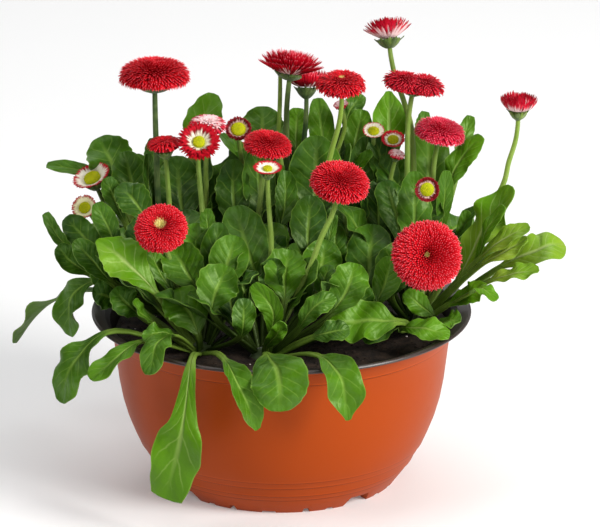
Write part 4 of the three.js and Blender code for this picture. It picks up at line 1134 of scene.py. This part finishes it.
def add_stem(growth, bloom, blank):
    """A ribbed stem that thins on its way up and swells under the cup."""
    line = stem_line(bloom)
    x, y, s = blank.points.T
    centre, direction = line.at(s), line.tangent(s)
    side = without(np.broadcast_to(np.array([1.0, 0, 0]), direction.shape), direction)
    other = np.cross(direction, side)
    ribs = 1 + 0.07 * np.cos(5 * np.arctan2(y, x))
    radius = (STEM_ROOT + (STEM_TOP - STEM_ROOT) * s) * ribs * (0.66 + 0.012 * bloom.radius)
    radius *= 1 + 0.35 * np.clip((s - 0.93) / 0.07, 0, 1)
    points = centre + side * (x * radius)[:, None] + other * (y * radius)[:, None]
    uv = np.stack([np.arctan2(y, x) / (2 * math.pi) + 0.5, s], axis=1)
    growth.add(points * MM, blank.faces, uv, tint=bloom.stem_tint, under=0.0)


def add_hairs(growth, bloom, blank):
    """Short soft hairs that stand off the upper stem."""
    chance, count = bloom.chance, STEM_HAIRS
    line = stem_line(bloom)
    s = 0.45 + 0.5 * chance.random(count)
    angle = chance.random(count) * 2 * math.pi
    centre, direction = line.at(s), line.tangent(s)
    side = without(np.broadcast_to(np.array([1.0, 0, 0]), direction.shape), direction)
    out = side * np.cos(angle)[:, None] + np.cross(direction, side) * np.sin(angle)[:, None]
    root = centre + out * (STEM_TOP * 0.85)
    tip = root + out * (0.7 + 0.5 * chance.random(count))[:, None] + direction * 0.35
    thin = np.full(count, 0.09)
    hairs = Growth()
    lay_petals(hairs, blank, root, (root + tip) / 2, tip, thin, thin, direction, np.full(count, 0.8))
    for points, uv in zip(hairs.points, hairs.uv):
        growth.add(points, blank.faces, uv * [1, 0], tint=0.9, under=0.5)


def add_cup(growth, bloom, blank):
    """Green cup under the petals: a swollen base with two rows of pointed bracts."""
    radius = bloom.radius * CUP_WIDTHS.get(bloom.form, 1)
    deep = cup_depth(bloom)
    fresh = 0.4 + 1.2 * bloom.stem_tint
    core = Blank(turned("cup_blank", CUP_OUTLINE, 20))
    x, y, z = core.points.T
    z = z * deep
    flat = np.maximum(np.hypot(x, y), STEM_TOP / radius * (z < -0.9 * deep))
    points = bloom.place(flat * radius, np.arctan2(y, x), z * radius)
    growth.add(points * MM, core.faces, np.tile([0.5, 0.1], (len(points), 1)), tint=0.3 * fresh, under=0.0)
    u, s, h = blank.points.T
    chance = bloom.chance
    closed = deep == SHALLOW_CUP
    rows = CLOSED_BRACTS if closed else OPEN_BRACTS
    if bloom.form == "fan":
        rows = FAN_BRACTS
    for row, (tip_radius, tip_height) in enumerate(rows):
        for i in range(BRACTS):
            angle = (i + 0.5 * row) * 2 * math.pi / BRACTS + chance.normal(0, 0.08)
            reach = tip_radius * (1 + (0.04 if closed else 0.1) * chance.normal())
            line = Line([(0.13, -deep), (0.30, -0.72 * deep), (0.44, -0.3 * deep), (reach, tip_height)])
            flat = line.at(s)
            slope = line.tangent(s)
            out, level = flat[:, 0], flat[:, 1]
            half = 0.17 * (0.55 + 0.6 * s) * np.clip(1.02 - s ** 2.2, 0, 1) ** 0.8
            spread = u * half / np.maximum(out, 0.05)
            depth = h * 0.012 + 0.018 * (1 - np.abs(u)) + 0.012 * row
            out, level = out + slope[:, 1] * depth, level - slope[:, 0] * depth
            points = bloom.place(out * radius, angle + spread, level * radius)
            uv = np.stack([0.5 + 0.5 * u, s], axis=1)
            growth.add(points * MM, blank.faces, uv, tint=(0.1 + 0.3 * chance.random()) * fresh, under=0.0)


def make_stems(name):
    """Stems, hairs and cups of one plant."""
    growth = Growth()
    stem, hair, bract = rod_blank(12, 36), rod_blank(3, 1), strip_blank(4, 6)
    add_crown(growth, PLANTS[name]["crown"])
    for bloom in BLOOM_LIST:
        if bloom.plant == name:
            add_stem(growth, bloom, stem)
            add_hairs(growth, bloom, hair)
            add_cup(growth, bloom, bract)
    return growth


# Finishes

class Value:
    """A shader value that takes part in sums."""

    def __init__(self, finish, socket):
        self.finish, self.socket = finish, socket

    def math(self, operation, *others):
        return self.finish.math(operation, self, *others)

    def __add__(self, other):
        return self.math("ADD", other)

    __radd__ = __add__

    def __sub__(self, other):
        return self.math("SUBTRACT", other)

    def __rsub__(self, other):
        return self.finish.math("SUBTRACT", other, self)

    def __mul__(self, other):
        return self.math("MULTIPLY", other)

    __rmul__ = __mul__

    def __truediv__(self, other):
        return self.math("DIVIDE", other)

    def __rtruediv__(self, other):
        return self.finish.math("DIVIDE", other, self)

    def size(self):
        """The value without its sign."""
        return self.math("ABSOLUTE")

    def fraction(self):
        """What is left of the value past its last whole number."""
        return self.math("FRACT")

    def ramp(self, low, high, smooth=True):
        """0 below low, 1 above high."""
        kind = "SMOOTHSTEP" if smooth else "LINEAR"
        return self.finish.node("ShaderNodeMapRange", {"interpolation_type": kind},
                                {"Value": self, "From Min": low, "From Max": high})["Result"]


class Finish:
    """A material whose nodes are made by short calls."""

    def __init__(self, name):
        self.material = bpy.data.materials.new(name)
        self.material.use_nodes = True
        self.tree = self.material.node_tree
        self.tree.nodes.clear()

    def node(self, kind, settings=None, inputs=None):
        """A node with its settings first, then its sockets; gives its outputs by name."""
        node = self.tree.nodes.new(kind)
        for key, value in (settings or {}).items():
            setattr(node, key, value)
        for key, value in (inputs or {}).items():
            socket = node.inputs[key]
            if isinstance(value, Value):
                self.tree.links.new(value.socket, socket)
            elif socket.type == "RGBA" and len(value) == 3:
                socket.default_value = (*value, 1.0)
            else:
                socket.default_value = value
        return {o.name: Value(self, o) for o in node.outputs if o.enabled}

    def math(self, operation, *values):
        """One step of arithmetic on values and numbers."""
        return self.node("ShaderNodeMath", {"operation": operation}, dict(enumerate(values)))["Value"]

    def place(self):
        """Object coordinates."""
        return self.node("ShaderNodeTexCoord")["Object"]

    def mark(self, name):
        """A value that the piece's points carry."""
        return self.node("ShaderNodeAttribute", {"attribute_name": name})["Fac"]

    def surface_place(self):
        """Across and along of the piece's own UV map."""
        uv = self.node("ShaderNodeUVMap", {"uv_map": "UVMap"})["UV"]
        parts = self.node("ShaderNodeSeparateXYZ", inputs={"Vector": uv})
        return parts["X"], parts["Y"]

    def height(self):
        """Height above the ground in metres."""
        return self.node("ShaderNodeSeparateXYZ", inputs={"Vector": self.place()})["Z"]

    def noise(self, scale, detail, roughness=0.5):
        """Cloudy noise from 0 to 1."""
        inputs = {"Vector": self.place(), "Scale": scale, "Detail": detail, "Roughness": roughness}
        return self.node("ShaderNodeTexNoise", inputs=inputs)["Fac"]

    def cells(self, scale):
        """Distance to the nearest of many scattered points."""
        return self.node("ShaderNodeTexVoronoi", inputs={"Vector": self.place(), "Scale": scale})["Distance"]

    def mix(self, factor, first, second):
        """The first colour at factor 0, the second at 1."""
        node = self.node("ShaderNodeMix", {"data_type": "RGBA"})
        mixed = node["Result"].socket.node
        for index, value in ((0, factor), (6, first), (7, second)):
            if isinstance(value, Value):
                self.tree.links.new(value.socket, mixed.inputs[index])
            elif index == 0:
                mixed.inputs[0].default_value = value
            else:
                mixed.inputs[index].default_value = (*value[:3], 1.0)
        return Value(self, mixed.outputs[2])

    def bump(self, height, distance, strength):
        """A surface normal tilted by fine relief."""
        inputs = {"Height": height, "Distance": distance, "Strength": strength}
        return self.node("ShaderNodeBump", inputs=inputs)["Normal"]

    def surface(self, **inputs):
        """The shader itself, with constants and links on its own sockets."""
        named = {key.replace("_", " ").title().replace("Ior", "IOR"): value for key, value in inputs.items()}
        shader = self.node("ShaderNodeBsdfPrincipled", inputs=named)["BSDF"]
        self.node("ShaderNodeOutputMaterial", inputs={"Surface": shader})
        return self.material


def moulded_plastic(name, colour, rough, worn, shine, rings=()):
    """Plain plastic with a faint cloud of dust, painted shade in the grooves of its moulded rings and painted
    highlights on their crests.
    """
    finish = Finish(name)
    cloud = finish.noise(9, 3)
    grain = finish.noise(900, 2)
    dusty = finish.noise(60, 5, 0.6).ramp(0.55, 0.8)
    shade = finish.mix(cloud, [c * 0.9 for c in colour], [min(1, c * 1.1) for c in colour])
    shade = finish.mix(dusty * worn, shade, [0.5 * c + 0.5 * max(colour) * 0.8 for c in colour])
    level = finish.height()
    for ring in rings:
        above = level / MM - ring
        painted_groove_shade = 1 - (above.size() / 0.5).ramp(0.4, 1.0)
        painted_crest_highlight = 1 - ((above - 0.9).size() / 0.5).ramp(0.4, 1.0)
        # painted shade darkens the groove of each moulded ring, and a painted highlight lightens its crest
        shade = finish.mix(painted_groove_shade * 0.6, shade, [0.35 * c for c in colour])
        shade = finish.mix(painted_crest_highlight * 0.35, shade, [1.5 * c for c in colour])
    return finish.surface(base_color=shade, roughness=rough + 0.1 * dusty + 0.05 * cloud,
                          specular_ior_level=shine, normal=finish.bump(grain, 0.00004, 0.5))


def peat(colour):
    """Moist peat in coarse and fine lumps, with brown fibres."""
    finish = Finish("moist_peat")
    coarse, fine = finish.noise(140, 6, 0.65), finish.noise(700, 5, 0.7)
    wet = finish.noise(45, 3).ramp(0.4, 0.7)
    shade = finish.mix(coarse.ramp(0.35, 0.7), [c * 0.5 for c in colour], [c * 2.4 for c in colour])
    fibre = fine.ramp(0.6, 0.78)
    shade = finish.mix(fibre * 0.5, shade, (0.09, 0.055, 0.03))
    height = coarse * 0.7 + fine * 0.3
    return finish.surface(base_color=shade, roughness=0.95 - 0.25 * wet, specular_ior_level=0.3,
                          normal=finish.bump(height, 0.002, 0.9))


def pale_grit():
    """Porous pale grains."""
    finish = Finish("pale_grit")
    pores = finish.noise(900, 4, 0.6)
    shade = finish.mix(pores.ramp(0.3, 0.7), (0.55, 0.46, 0.40), (0.85, 0.78, 0.74))
    return finish.surface(base_color=shade, roughness=0.9, normal=finish.bump(pores, 0.0006, 0.8))


def leaf_green(settings):
    """Satin blade with a pale midrib, side veins, a painted highlight along the edge, a paler underside, and
    painted shade towards the root of the leaves.
    """
    finish = Finish("leaf_green")
    x, along = finish.surface_place()
    tint, under = finish.mark("tint"), finish.mark("under")
    aside = ((x - 0.5) * 2).size()
    blade = along.ramp(-0.02, 0.14)
    own = finish.mark("own")
    wander = finish.noise(110, 3) - 0.5
    q = ((along - VEIN_SLANT * aside + 0.07 * wander) * (5.5 + 2.5 * own) + own * 7).fraction()
    near = 1 - ((q - 0.5).size() * 2).ramp(0.0, 0.2)
    side_vein = near * (1 - aside.ramp(0.55, 0.95)) * aside.ramp(0.0, 0.1) * blade
    side_vein = side_vein * (1 - along.ramp(0.8, 0.97))
    rib = (1 - aside.ramp(0.02, 0.15)) * (1 - along.ramp(0.35, 1.0))
    net = finish.cells(420)
    mottle = finish.noise(55, 4, 0.55)
    patch = finish.noise(26, 3)
    shade = finish.mix((tint + 1.1 * (patch - 0.5)).ramp(0.0, 1.0, False), settings.deep, settings.fresh)
    shade = finish.mix((tint + 1.4 * (patch - 0.5)).ramp(1.0, 1.5, False), shade, settings.lime)
    shade = finish.mix(mottle.ramp(0.35, 0.8) * 0.3, shade, [min(1, 1.5 * c) for c in settings.fresh])
    # grey-blue speckle on the darker leaves: a painted sheen of their hairy surface, partly dust
    sheen_and_dust = finish.noise(220, 3).ramp(0.35, 0.8) * (1 - tint.ramp(0.3, 0.9)) * 0.1
    shade = finish.mix(sheen_and_dust, shade, (0.16, 0.27, 0.17))
    vein = finish.mix(tint.ramp(0.6, 1.3), settings.vein, (0.46, 0.56, 0.20))
    shade = finish.mix(side_vein * 0.3, shade, vein)
    shade = finish.mix(rib * 0.7, shade, vein)
    # painted highlight: a thin pale rim along the edge of the blade
    shade = finish.mix(aside.ramp(0.93, 0.99) * blade * 0.45, shade, settings.vein)
    shade = finish.mix(under * 0.45, shade, (0.11, 0.20, 0.05))
    stalk = finish.mix(finish.noise(90, 3), (0.10, 0.20, 0.015), (0.26, 0.38, 0.06))
    shade = finish.mix(blade, stalk, shade)
    shadow = finish.mark("depth") * (1 - along.ramp(-0.2, 0.7))
    shade = finish.mix(shadow, shade, [0.3 * c for c in settings.deep])
    quilt = ((q - 0.5).size() * 2).ramp(0.0, 1.0) * aside.ramp(0.0, 0.3) * (1 - aside.ramp(0.75, 1.0)) * blade
    height = net * 0.1 + mottle * 0.7 + quilt * 0.12 - rib * 0.4
    return finish.surface(base_color=shade, roughness=0.32 + 0.2 * mottle + 0.15 * under,
                          specular_ior_level=0.32, specular_tint=(0.78, 1.0, 0.5),
                          normal=finish.bump(height, 0.0017, 0.8))


def stem_green():
    """Streaked green of stems and cups, darkened by painted shade low down near and in the soil."""
    finish = Finish("stem_green")
    x, along = finish.surface_place()
    tint = finish.mark("tint")
    streak = finish.noise(120, 3)
    shade = finish.mix(tint, (0.022, 0.058, 0.006), (0.24, 0.38, 0.03))
    shade = finish.mix(streak.ramp(0.4, 0.75) * 0.25, shade, (0.36, 0.46, 0.12))
    # painted shade: everything low down near the soil darkens
    shade = finish.mix((1 - finish.height().ramp(0.094, 0.11)) * 0.8, shade, (0.012, 0.018, 0.004))
    lines = ((x * 14).fraction() - 0.5).size()
    shade = finish.mix(lines.ramp(0.3, 0.5) * 0.2, shade, (0.05, 0.12, 0.01))
    return finish.surface(base_color=shade, roughness=0.55 + 0.15 * streak, specular_ior_level=0.35,
                          sheen_weight=0.2, sheen_roughness=0.5,
                          normal=finish.bump(lines + streak, 0.0002, 0.5))


def petal_finish(kind):
    """Colour runs along the petal from painted shade at the root to the tip, and in the red, crimson, wine
    and rose finishes to a painted highlight at the very end; each petal differs a little, and some parts are
    pale.
    """
    deep, body, tip, end, pale = PETAL_COLOURS[kind]
    finish = Finish("petal_" + kind)
    x, along = finish.surface_place()
    shade_mark, tone = finish.mark("shade"), finish.mark("tone")
    grain = finish.noise(500, 2)
    run = along + 0.06 * (shade_mark - 0.5)
    # painted shade: the deep colour at the root stands for the shade between petals
    shade = finish.mix(run.ramp(0.35, 0.8), deep, body)
    shade = finish.mix(run.ramp(0.8, 0.92), shade, tip)
    # painted highlight at the very end in the red, crimson, wine and rose finishes; the other finishes darken
    # there in their own colour
    shade = finish.mix(run.ramp(0.9, 0.98) * 0.8, shade, end)
    shade = finish.mix((shade_mark - 0.5).ramp(0.0, 0.5) * 0.35, shade, tip)
    shade = finish.mix((0.5 - shade_mark).ramp(0.0, 0.5) * 0.45, shade, [c * 0.5 for c in body])
    line = ((x * 3).fraction() - 0.5).size()
    shade = finish.mix((tone + 0.15 * (grain - 0.5) + 0.25 * (line - 0.25)).ramp(0.1, 0.9), shade, pale)
    return finish.surface(base_color=shade, roughness=0.5 + 0.2 * grain, specular_ior_level=0.12,
                          normal=finish.bump(line, 0.0001, 0.4))


def disc_finish(colour):
    """Florets that run from green at the root to yellow at the tip, each a little different, with painted
    shade low down between them.
    """
    finish = Finish("disc_florets")
    shade_mark = finish.mark("shade")
    _, along = finish.surface_place()
    shade = finish.mix(shade_mark.ramp(0.2, 1.0), [0.5 * colour[0], 0.72 * colour[1], colour[2]], colour)
    shade = finish.mix(along.ramp(0.6, 1.0) * 0.4, shade, (0.92, 0.74, 0.03))
    # painted shade: the lower parts of the florets darken, as in the gaps between them
    shade = finish.mix((1 - along.ramp(0.1, 0.6)) * 0.3, shade, (0.24, 0.28, 0.002))
    grain = finish.noise(800, 2)
    return finish.surface(base_color=shade, roughness=0.6 + 0.2 * grain, specular_ior_level=0.12,
                          normal=finish.bump(grain, 0.0002, 0.5))


# Operators, one for each group of like pieces

class DAISY_OT_bowl(bpy.types.Operator):
    """Bowl with a turned wall, a dark lip and notched feet"""
    bl_idname = "daisy.bowl"
    bl_label = "Bowl"

    def execute(self, context):
        settings = context.scene.daisy_bowl
        w = settings.wall / MM
        outside = [
            (64, FOOT_HEIGHT), (65.5, 0), (70.5, 0), (77.5, 9.5), (80.2, 13.6), (81, 14), (83.4, 19.8),
            (84.2, 20.2), (86, 24.2), (87, 24.6), (90.2, 32), (93.9, 41.6), (96.8, 52), (98.9, 63.5),
            (100.7, 78.6), (102.2, 91.4), (103.1, 92), (105, 99.5), (114.6, 103.6),
        ]
        inside = [
            (115, 104.4), (114.6, 105.2), (113.6, 105.5), (112, 105.3), (107, 103.1), (104, 100),
            (102.2 - w, 90), (98.9 - w, 63.5), (93.9 - w, 41.6), (84.2 - w, 21), (75, FLOOR_TOP),
        ]
        outline = [(r * MM, z * MM) for r, z in outside + inside]
        bowl = turned("bowl", outline, settings.steps)
        self.cut_feet(bowl)
        apply_modifier(bowl, "BEVEL", width=0.00025, segments=2, limit_method="ANGLE",
                       angle_limit=math.radians(35))
        outer = moulded_plastic("terracotta_plastic", settings.colour, 0.40, 0.01, 0.12, BOWL_RINGS)
        inner = moulded_plastic("dark_plastic", settings.inside, 0.34, 0.02, 0.5)
        finish_piece(bowl, outer, inner, slot="pot", replaces=["pot"], angle=22)
        self.darken_inside(bowl)
        return {"FINISHED"}

    def darken_inside(self, bowl):
        """The second plastic on the lip, the floor and the inside of the wall."""
        for face in bowl.data.polygons:
            reach = math.hypot(face.center.x, face.center.y)
            inward = face.normal.x * face.center.x + face.normal.y * face.center.y < -1e-6 * reach
            lip = face.center.z > BOWL_TOP - LIP_HEIGHT * MM
            floor = abs(face.center.z - FLOOR_TOP * MM) < 1e-4
            wall = inward and face.center.z > 8 * MM
            face.material_index = 1 if lip or floor or wall else 0

    def cut_feet(self, bowl):
        """Notches and gaps cut through the foot ring."""
        cutters = []
        for foot in range(FOOT_COUNT):
            for turn, wide, slope, high in FOOT_CUTS:
                angle = FOOT_TURN + 360 / FOOT_COUNT * foot + turn
                cutters.append(self.cutter(angle, wide, slope, high))
        select_only(cutters[0])
        for cutter in cutters:
            cutter.select_set(True)
        bpy.ops.object.join()
        tool = bpy.context.object
        apply_modifier(bowl, "BOOLEAN", operation="DIFFERENCE", object=tool, solver="EXACT")
        bpy.data.objects.remove(tool)

    def cutter(self, angle, wide, slope, high):
        """A wedge across the foot ring at one angle from the front, narrower at its top."""
        bpy.ops.object.select_all(action="DESELECT")
        reach = FOOT_REACH * MM
        across = 2 * reach * math.sin(math.radians(wide / 2))
        bpy.ops.mesh.primitive_cube_add(size=1, location=(0, -reach, 0))
        cutter = bpy.context.object
        bpy.ops.object.mode_set(mode="EDIT")
        bpy.ops.mesh.select_all(action="SELECT")
        bpy.ops.transform.resize(value=(across, CUT_DEPTH * MM, high * MM * 2))
        bpy.ops.object.mode_set(mode="OBJECT")
        for vertex in cutter.data.vertices:
            if vertex.co.z > 0:
                vertex.co.x *= 1 - 2 * slope / wide
        cutter.data.transform(Matrix.Rotation(math.radians(angle), 4, "Z") @ cutter.matrix_world)
        cutter.matrix_world = Matrix.Identity(4)
        return cutter


class DAISY_OT_soil(bpy.types.Operator):
    """Lumpy bed of peat with loose crumbs and pale grit"""
    bl_idname = "daisy.soil"
    bl_label = "Soil"

    def execute(self, context):
        settings = context.scene.daisy_soil
        w = context.scene.daisy_bowl.wall / MM + SOIL_GAP
        sides = [(74.4, FLOOR_TOP + SOIL_GAP), (84 - w, 21.2), (93.8 - w, 41.6), (98.8 - w, 63.5),
                 (SOIL_EDGE - w, 91)]
        rings = [(SOIL_EDGE - w - SOIL_RING_STEP * i, SOIL_LEVEL) for i in range(1, SOIL_RINGS + 1)]
        outline = [(r * MM, z * MM) for r, z in sides + rings]
        bed = turned("soil_bed", outline, 128)
        for vertex in bed.data.vertices:
            if vertex.co.z > (SOIL_LEVEL - 1.5) * MM:
                vertex.co.z = self.level(vertex.co.x, vertex.co.y, settings)
        material = peat(settings.colour)
        finish_piece(bed, material, slot="soil", replaces=["soil"], angle=60)
        crumbs = self.crumbs("soil_crumbs", settings, settings.crumbs, CRUMB_SIZES, seed=5, rounds=1)
        finish_piece(crumbs, material, slot="soil")
        grit = self.crumbs("soil_grit", settings, settings.grit, GRIT_SIZES, seed=8, rounds=2)
        finish_piece(grit, pale_grit(), slot="soil")
        return {"FINISHED"}

    def level(self, x, y, settings):
        """Height of the lumpy soil, which rises a little towards the wall at the right."""
        reach = math.hypot(x, y) / (SOIL_REACH * MM)
        lumps = noise.fractal(Vector((x, y, 0.3)) * 55, 0.8, 2.1, 5)
        return SOIL_LEVEL * MM + settings.relief * (0.75 * lumps + 0.15) + 0.0022 * reach * (0.5 + 5 * x)

    def crumbs(self, name, settings, count, sizes, seed, rounds):
        """Lumps scattered on the bed, from balls subdivided in as many rounds."""
        chance = random.Random(seed)
        bpy.ops.object.select_all(action="DESELECT")
        bpy.ops.mesh.primitive_ico_sphere_add(subdivisions=rounds, radius=1)
        blank = Blank(bpy.context.object)
        growth = Growth()
        for _ in range(count):
            reach, angle = CRUMB_REACH * math.sqrt(chance.random()), chance.uniform(0, 2 * math.pi)
            x, y = reach * math.cos(angle) * MM, reach * math.sin(angle) * MM
            size = chance.uniform(*sizes) * MM * 0.5
            stretch = np.array([chance.uniform(0.7, 1.5), chance.uniform(0.7, 1.3), chance.uniform(0.5, 0.9)])
            far = Vector((x, y, 0)) * 900
            lump = 1 + 0.25 * np.array([noise.noise(Vector(p) * 1.7 + far) for p in blank.points])
            turn = np.array(Matrix.Rotation(chance.uniform(0, 6.28), 3, "Z"))
            points = (blank.points * lump[:, None] * stretch * size) @ turn.T
            points += (x, y, self.level(x, y, settings) + size * 0.2)
            growth.add(points, blank.faces, np.zeros((len(points), 2)), shade=chance.random())
        return growth.to_object(name)


class DAISY_OT_leaves(bpy.types.Operator):
    """Leaves of all five plants"""
    bl_idname = "daisy.leaves"
    bl_label = "Leaves"

    def execute(self, context):
        settings = context.scene.daisy_leaf
        material = leaf_green(settings)
        for name in PLANTS:
            leaves = make_leaves(name, settings).to_object("leaves_" + name)
            finish_piece(leaves, material, slot="greenery", replaces=["plant_" + name], angle=60)
        return {"FINISHED"}


class DAISY_OT_stems(bpy.types.Operator):
    """Flower stems with their hairs and green cups"""
    bl_idname = "daisy.stems"
    bl_label = "Stems and cups"

    def execute(self, context):
        material = stem_green()
        for name in PLANTS:
            stems = make_stems(name).to_object("stems_" + name)
            finish_piece(stems, material, slot="greenery", angle=50)
        return {"FINISHED"}


class DAISY_OT_petals(bpy.types.Operator):
    """Petals of every bloom"""
    bl_idname = "daisy.petals"
    bl_label = "Petals"

    def execute(self, context):
        settings = context.scene.daisy_bloom
        finishes = {kind: petal_finish(kind) for kind in PETAL_COLOURS}
        for bloom in BLOOM_LIST:
            petals = make_petals(bloom, settings).to_object(f"petals_{bloom.number:02d}")
            slot = "pink_petals" if bloom.form == "daisy" else "red_petals"
            finish_piece(petals, finishes[bloom.finish], slot=slot,
                         replaces=[f"bloom_{bloom.number:02d}_petals"], angle=60)
        return {"FINISHED"}


class DAISY_OT_discs(bpy.types.Operator):
    """Discs of tiny florets in the open blooms"""
    bl_idname = "daisy.discs"
    bl_label = "Discs"

    def execute(self, context):
        material = disc_finish(context.scene.daisy_bloom.disc)
        for bloom in BLOOM_LIST:
            if bloom.form == "daisy":
                disc = make_disc(bloom).to_object(f"florets_{bloom.number:02d}")
                finish_piece(disc, material, slot="disc", replaces=[f"bloom_{bloom.number:02d}_disc"],
                             angle=60)
        return {"FINISHED"}


class DAISY_OT_stage(bpy.types.Operator):
    """Pale floor, soft studio light and the camera"""
    bl_idname = "daisy.stage"
    bl_label = "Stage"

    def execute(self, context):
        settings = context.scene.daisy_stage
        bpy.ops.object.select_all(action="DESELECT")
        bpy.ops.mesh.primitive_plane_add(size=8, location=(0, 0, 0))
        floor = bpy.context.object
        floor.name = "floor"
        finish = Finish("pale_floor")
        cloud = finish.noise(2, 2)
        shade = finish.mix(cloud, [c * 0.98 for c in settings.floor], settings.floor)
        floor.data.materials.append(finish.surface(base_color=shade, roughness=0.9, specular_ior_level=0.1,
                                                   emission_color=settings.floor, emission_strength=0.14))
        for name, values in LIGHTS.items():
            self.light(name, *values)
        world = bpy.data.worlds.new("studio")
        context.scene.world = world
        world.use_nodes = True
        background = world.node_tree.nodes["Background"]
        background.inputs["Color"].default_value = AIR_COLOUR
        background.inputs["Strength"].default_value = AIR_STRENGTH
        context.scene.view_settings.view_transform = "Standard"
        self.camera(context, settings)
        return {"FINISHED"}

    def light(self, name, place, size, power, colour):
        """A square soft light that faces the object."""
        bpy.ops.object.select_all(action="DESELECT")
        bpy.ops.object.light_add(type="AREA", location=place)
        lamp = bpy.context.object
        lamp.name = "light_" + name
        lamp.data.shape = "SQUARE"
        lamp.data.size = size
        lamp.data.energy = power
        lamp.data.color = colour
        aim = Vector(LIGHT_AIM) - Vector(place)
        lamp.rotation_euler = aim.to_track_quat("-Z", "Y").to_euler()

    def camera(self, context, settings):
        """A camera in front of the object, looking down on it a little."""
        target = Vector(VIEW_TARGET)
        e = settings.elevation
        back = Vector((0, -math.cos(e), math.sin(e)))
        bpy.ops.object.select_all(action="DESELECT")
        bpy.ops.object.camera_add(location=target + back * settings.distance)
        camera = bpy.context.object
        camera.rotation_euler = (-back).to_track_quat("-Z", "Y").to_euler()
        camera.data.sensor_width = SENSOR_WIDTH
        camera.data.lens = SENSOR_WIDTH * settings.distance / settings.view_width
        camera.data.clip_start, camera.data.clip_end = 0.05, 20
        context.scene.camera = camera


class DAISY_PT_pieces(bpy.types.Panel):
    """Lists the pieces in the sidebar"""
    bl_idname = "DAISY_PT_pieces"
    bl_label = "Potted english daisy"
    bl_space_type = "VIEW_3D"
    bl_region_type = "UI"
    bl_category = "Daisy"

    def draw(self, context):
        for operator in OPERATORS:
            self.layout.operator(operator.bl_idname)
        for group in SETTINGS:
            box = self.layout.box()
            values = getattr(context.scene, group)
            for key in values.bl_rna.properties.keys():
                if key not in ("rna_type", "name"):
                    box.prop(values, key)


SETTINGS = {
    "daisy_bowl": BowlSettings, "daisy_soil": SoilSettings, "daisy_leaf": LeafSettings,
    "daisy_bloom": BloomSettings, "daisy_stage": StageSettings,
}
OPERATORS = (DAISY_OT_bowl, DAISY_OT_soil, DAISY_OT_leaves, DAISY_OT_stems, DAISY_OT_petals, DAISY_OT_discs,
             DAISY_OT_stage)


def register():
    """Makes the settings, operators and panel known to Blender."""
    for cls in (*SETTINGS.values(), *OPERATORS, DAISY_PT_pieces):
        bpy.utils.register_class(cls)
    for name, group in SETTINGS.items():
        setattr(bpy.types.Scene, name, PointerProperty(type=group))


def unregister():
    """Takes the settings, operators and panel out of Blender again."""
    for name in SETTINGS:
        delattr(bpy.types.Scene, name)
    for cls in reversed((*SETTINGS.values(), *OPERATORS, DAISY_PT_pieces)):
        bpy.utils.unregister_class(cls)


def main():
    """Builds all pieces and the stage."""
    register()
    bpy.ops.daisy.bowl()
    bpy.ops.daisy.soil()
    bpy.ops.daisy.leaves()
    bpy.ops.daisy.stems()
    bpy.ops.daisy.petals()
    bpy.ops.daisy.discs()
    bpy.ops.daisy.stage()


if __name__ == "__main__":
    main()
